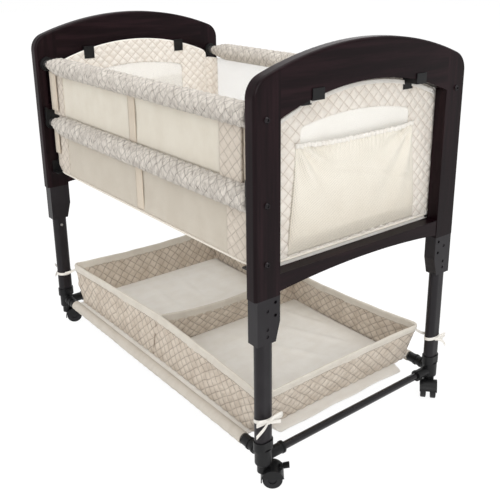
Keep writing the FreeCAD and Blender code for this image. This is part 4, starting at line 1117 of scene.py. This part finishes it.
bands = [legTies(*each) for each in (
    ("foot_front", 1, -1, "bow"), ("foot_back", 1, 1, "loop"), ("head_front", -1, -1, "knot"),
    ("head_back", -1, 1, "knot"))]
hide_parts("basket_ties")
print("ties made")


class Nodes:
    def __init__(self, name, inputs):
        self.tree = bpy.data.node_groups.new(name, "GeometryNodeTree")
        face = self.tree.interface
        face.new_socket("Geometry", in_out="INPUT", socket_type="NodeSocketGeometry")
        self.ids = {}
        for key, (kind, value) in inputs.items():
            socket = face.new_socket(key, in_out="INPUT", socket_type=kind)
            socket.default_value = value
            self.ids[key] = socket.identifier
        face.new_socket("Geometry", in_out="OUTPUT", socket_type="NodeSocketGeometry")
        self.start = self.tree.nodes.new("NodeGroupInput")
        self.finish = self.tree.nodes.new("NodeGroupOutput")

    def made(self, kind, settings=None, inputs=None):
        return newNode(self.tree, kind, settings, inputs)

    def add(self, kind, settings=None, inputs=None, output=0):
        return self.made(kind, settings, inputs).outputs[output]

    def given(self, key):
        return self.start.outputs[key]

    def end(self, geometry, material):
        real = self.add("GeometryNodeRealizeInstances", {}, {"Geometry": geometry})
        done = self.add("GeometryNodeSetMaterial", {}, {"Geometry": real, "Material": material})
        self.tree.links.new(done, self.finish.inputs[0])
        return self.tree, self.ids


def grown(name, base, grower, values, body, node=None):
    # runs a tree on a base mesh and keeps the result as a plain mesh on a body
    tree, ids = grower
    piece = inScene(name, base)
    modifier = piece.modifiers.new("made", "NODES")
    modifier.node_group = tree
    for key, value in values.items():
        modifier[ids[key]] = value
    applied(piece)
    return dressed(piece, body, node)


def lineMesh(name, lines, closed=False):
    points, edges = [], []
    for line in lines:
        first = len(points)
        points += [tuple(p) for p in line]
        edges += [(first + i, first + i + 1) for i in range(len(line) - 1)]
        if closed:
            edges.append((len(points) - 1, first))
    mesh = bpy.data.meshes.new(name)
    mesh.from_pydata(points, edges, [])
    return mesh


def cordTree(material):
    nodes = Nodes("cordAlongLine", {"Radius": ("NodeSocketFloat", 0.002),
                                    "Spacing": ("NodeSocketFloat", 0.004),
                                    "Sides": ("NodeSocketInt", 8)})
    curve = nodes.add("GeometryNodeMeshToCurve", {}, {"Mesh": nodes.given("Geometry")})
    even = nodes.add("GeometryNodeResampleCurve", {"mode": "LENGTH"},
                     {"Curve": curve, "Length": nodes.given("Spacing")})
    ring = nodes.add("GeometryNodeCurvePrimitiveCircle", {},
                     {"Resolution": nodes.given("Sides"), "Radius": nodes.given("Radius")})
    cord = nodes.add("GeometryNodeCurveToMesh", {},
                     {"Curve": even, "Profile Curve": ring, "Fill Caps": True})
    shaded = nodes.add("GeometryNodeSetShadeSmooth", {}, {"Geometry": cord})
    return nodes.end(shaded, material)


def stitchTree(material):
    nodes = Nodes("stitchesAlongLine", {"Pitch": ("NodeSocketFloat", 0.0048),
                                        "Length": ("NodeSocketFloat", 0.0034),
                                        "Thickness": ("NodeSocketFloat", 0.0005)})
    curve = nodes.add("GeometryNodeMeshToCurve", {}, {"Mesh": nodes.given("Geometry")})
    spots = nodes.made("GeometryNodeCurveToPoints", {"mode": "LENGTH"},
                       {"Curve": curve, "Length": nodes.given("Pitch")})
    thread = nodes.add("GeometryNodeMeshCylinder", {},
                       {"Vertices": 6, "Side Segments": 1, "Radius": nodes.given("Thickness"),
                        "Depth": nodes.given("Length")})
    turn = nodes.add("FunctionNodeAlignRotationToVector", {"axis": "Z"},
                     {"Vector": spots.outputs["Tangent"]})
    copies = nodes.add("GeometryNodeInstanceOnPoints", {},
                       {"Points": spots.outputs["Points"], "Instance": thread, "Rotation": turn})
    return nodes.end(copies, material)


def screwTree(material):
    nodes = Nodes("screwsOnPoints", {"Head radius": ("NodeSocketFloat", 0.0063),
                                     "Head height": ("NodeSocketFloat", 0.0028),
                                     "Sides": ("NodeSocketInt", 32)})
    head = nodes.add("GeometryNodeMeshCone", {"fill_type": "NGON"},
                     {"Vertices": nodes.given("Sides"), "Side Segments": 2,
                      "Radius Top": 0.0044, "Radius Bottom": nodes.given("Head radius"),
                      "Depth": nodes.given("Head height")})
    normal = nodes.add("GeometryNodeInputNormal", {}, {})
    height = nodes.add("ShaderNodeSeparateXYZ", {}, {"Vector": normal}, 2)
    top = nodes.add("FunctionNodeCompare", {"data_type": "FLOAT", "operation": "GREATER_THAN"},
                    {0: height, 1: 0.95})
    raised = nodes.made("GeometryNodeExtrudeMesh", {},
                        {"Mesh": head, "Selection": top, "Offset Scale": 0.0})
    small = nodes.add("GeometryNodeScaleElements", {},
                      {"Geometry": raised.outputs["Mesh"], "Selection": raised.outputs["Top"],
                       "Scale": 0.62})
    sunk = nodes.add("GeometryNodeExtrudeMesh", {},
                     {"Mesh": small, "Selection": raised.outputs["Top"],
                      "Offset Scale": -0.0016})
    flat = nodes.add("GeometryNodeSetShadeSmooth", {}, {"Geometry": sunk, "Shade Smooth": False})
    facing = nodes.add("GeometryNodeInputNamedAttribute", {"data_type": "FLOAT_VECTOR"},
                       {"Name": "facing"})
    turn = nodes.add("FunctionNodeAlignRotationToVector", {"axis": "Z"}, {"Vector": facing})
    copies = nodes.add("GeometryNodeInstanceOnPoints", {},
                       {"Points": nodes.given("Geometry"), "Instance": flat, "Rotation": turn})
    return nodes.end(copies, material)


trim = {"pipe": {"Radius": 0.0022, "Spacing": 0.005, "Sides": 8},
        "hem": {"Radius": 0.0026, "Spacing": 0.006, "Sides": 8},
        "seam": {"Radius": 0.0009, "Spacing": 0.004, "Sides": 6},
        "stitch": {"Pitch": 0.0050, "Length": 0.0036, "Thickness": 0.00045},
        "screw": {"Head radius": 0.0063, "Head height": 0.0028, "Sides": 32},
        "screwX": 0.4884, "screwYZ": ((-0.268, 0.775), (-0.268, 0.616), (-0.268, 0.500),
                                      (0.268, 0.775))}

turns = np.linspace(0, fullTurn, 241)
outline = reachTo(turns, ends["edge"], 2)[:-1]
turns = turns[:-1]
whiteCord = cordTree(paints["whiteCloth"])
for end, sign in bothEnds:
    path = [(sign * (ends["x"] + 0.0006), r * math.cos(a), ends["middle"] + r * math.sin(a))
            for r, a in zip(outline, turns)]
    grown(end + "WallPiping", lineMesh(end + "WallPiping", [path], True), whiteCord,
          trim["pipe"], "upper_frame")

hemLine = [(r * math.cos(a), r * math.sin(a), bed["z"] - 0.0008)
           for r, a in zip(plateReach(turns, bed["half"], bed["corner"]), turns)]
grown("nestHemPiping", lineMesh("nestHemPiping", [hemLine], True), cordTree(paints["rimCloth"]),
      trim["hem"], "upper_frame")


def columnOf(side, share):  # the ring's column at a share of one side's length
    rows = np.where((ringRows[:, 0] == side) & (ringRows[:, 2] == 0))[0]
    return rows[int(round(share * (len(rows) - 1)))]


seams, middle = [], 0.010 / 0.86  # the divider's seams sit a little off the sides' middles
seamColumns = [np.where((ringRows[:, 0] == side) & (ringRows[:, 2] > 0))[0][2]
               for side in range(4)] + [columnOf(3, 0.5 - middle), columnOf(1, 0.5 + middle)]
for column in seamColumns:
    for inset in (-0.0006, basket["wall"] + 0.0004):
        heights = np.linspace(*basket["seamZ"], 18)
        x, y = zip(*[basketPoint(int(column), h, inset) for h in heights])
        seams.append(list(zip(map(float, x), map(float, y), heights)))
grown("basketSeams", lineMesh("basketSeams", seams), cordTree(paints["seamThread"]),
      trim["seam"], "lower_frame")

allColumns = np.arange(columns)
stitchLines = []
for inset in (-0.0014, basket["wall"] + 0.0014):
    heights = bandLow + 0.0022 + rimDip(allColumns)
    x, y = basketPoint(allColumns, heights, inset)
    stitchLines.append(list(zip(x, y, heights)))
grown("rimStitches", lineMesh("rimStitches", stitchLines, True),
      stitchTree(paints["seamThread"]), trim["stitch"], "lower_frame")

spots = [(way * trim["screwX"], y, z) for way in (1, -1) for y, z in trim["screwYZ"]]
mesh = bpy.data.meshes.new("postScrews")
mesh.from_pydata(spots, [], [])
ways = mesh.attributes.new("facing", "FLOAT_VECTOR", "POINT")
ways.data.foreach_set("vector", np.array([(math.copysign(1, x), 0, 0) for x, y, z in spots],
                                         float).ravel())
grown("postScrews", mesh, screwTree(paints["darkScrew"]), trim["screw"], "upper_frame",
      "rail_bolts")
print("trim and screws made")


cadPaints = {  # the first pattern that a CAD node's name fits gives its paint
    "*_posts": "woodUp", "*_arch_rail": "woodAcross", "*_lower_rail": "woodAcross",
    "leg_tube*": "legPaint", "leg_sleeves*": "legPaint", "end_tube*": "blackTube",
    "caster_wheels*": "casterRubber", "snap_button*": "steel", "side_tube*": "steel",
    "*_tube": "steel", "nest_floor_board": "sheetCloth", "*": "blackPlastic"}
for name, node in frame["nodes"].items():
    paint = next(cadPaints[pattern] for pattern in cadPaints if fnmatchcase(name, pattern))
    for slot in node.material_slots:
        slot.material = paints[paint]
print("CAD pieces painted")


studio = {"floor": srgb(248, 248, 248), "half": 14, "glow": 0.86, "shine": 1.08, "sky": 0.74,
          "aim": (0, 0, 0.4),  # each lamp: place, side length in metres, power in watts
          "lamps": {"key": ((3.1, -1.5, 2.3), 2.2, 54.0), "front": ((-0.6, -3.2, 2.2), 2.4, 18.0),
                    "top": ((0.2, 0.2, 3.2), 2.6, 44.0), "far": ((-2.4, 2.4, 2.0), 2.0, 14.0)}}


def floorPaint():  # it keeps the object's shadow, and glows only where it is seen
    paint = Paint("studioFloor", Roughness=0.9, Specular_IOR_Level=0.1,
                  Base_Color=studio["floor"])
    glow = paint.node("ShaderNodeEmission", {}, {"Color": (1, 1, 1, 1),
                                                 "Strength": studio["shine"]})
    rays = newNode(paint.tree, "ShaderNodeLightPath", {}, {})
    seen, mirrored, through = (Socket(paint, rays.outputs["Is " + kind + " Ray"])
                               for kind in ("Camera", "Glossy", "Transmission"))
    mixed = paint.node("ShaderNodeMixShader", {}, {
        0: seen.higher(mirrored).higher(through) * studio["glow"],
        1: paint.shader.outputs[0], 2: glow})
    out = next(n for n in paint.tree.nodes if n.type == "OUTPUT_MATERIAL")
    feed(paint.tree, out.inputs["Surface"], mixed)
    return paint.material


far = studio["half"]
mesh = bpy.data.meshes.new("ground")
mesh.from_pydata([(-far, -far, 0), (far, -far, 0), (far, far, 0), (-far, far, 0)], [],
                 [(0, 1, 2, 3)])
mesh.materials.append(floorPaint())
inScene("ground", mesh)

scene = bpy.context.scene
scene.world = bpy.data.worlds.new("studio")
scene.world.use_nodes = True
sky = scene.world.node_tree
rays = newNode(sky, "ShaderNodeLightPath", {}, {})
brighter = newNode(sky, "ShaderNodeMath", {"operation": "MULTIPLY_ADD"}, {
    0: rays.outputs["Is Camera Ray"], 1: 1.0 - studio["sky"], 2: studio["sky"]})
feed(sky, sky.nodes["Background"].inputs["Color"], (1, 1, 1, 1))
feed(sky, sky.nodes["Background"].inputs["Strength"], brighter.outputs[0])

for name, (place, size, power) in studio["lamps"].items():
    lamp = bpy.data.lights.new(name, "AREA")
    lamp.size, lamp.energy = size, power
    lampObject = inScene(name, lamp)
    lampObject.location = place
    way = Vector(studio["aim"]) - Vector(place)
    lampObject.rotation_euler = way.to_track_quat("-Z", "Y").to_euler()


view = {"place": (1.4615, -1.0591, 1.0413), "turn": 50.54, "tilt": 17.84,  # metres, degrees
        "focal": 729.1, "middle": (271.6, 195.0), "frame": 500.0,  # pixels of the photograph
        "sensor": 36.0, "farEnd": 60}

lens = bpy.data.cameras.new("camera")
lens.sensor_width = view["sensor"]
lens.lens = view["focal"] / view["frame"] * view["sensor"]
half = view["frame"] / 2
lens.shift_x = (half - view["middle"][0]) / view["frame"]
lens.shift_y = (view["middle"][1] - half) / view["frame"]
lens.clip_end = view["farEnd"]
camera = inScene("camera", lens)
camera.location = view["place"]
camera.rotation_euler = (math.radians(90 - view["tilt"]), 0, math.radians(view["turn"]))
scene.camera = camera
scene.view_settings.view_transform = "Standard"
print("studio made")
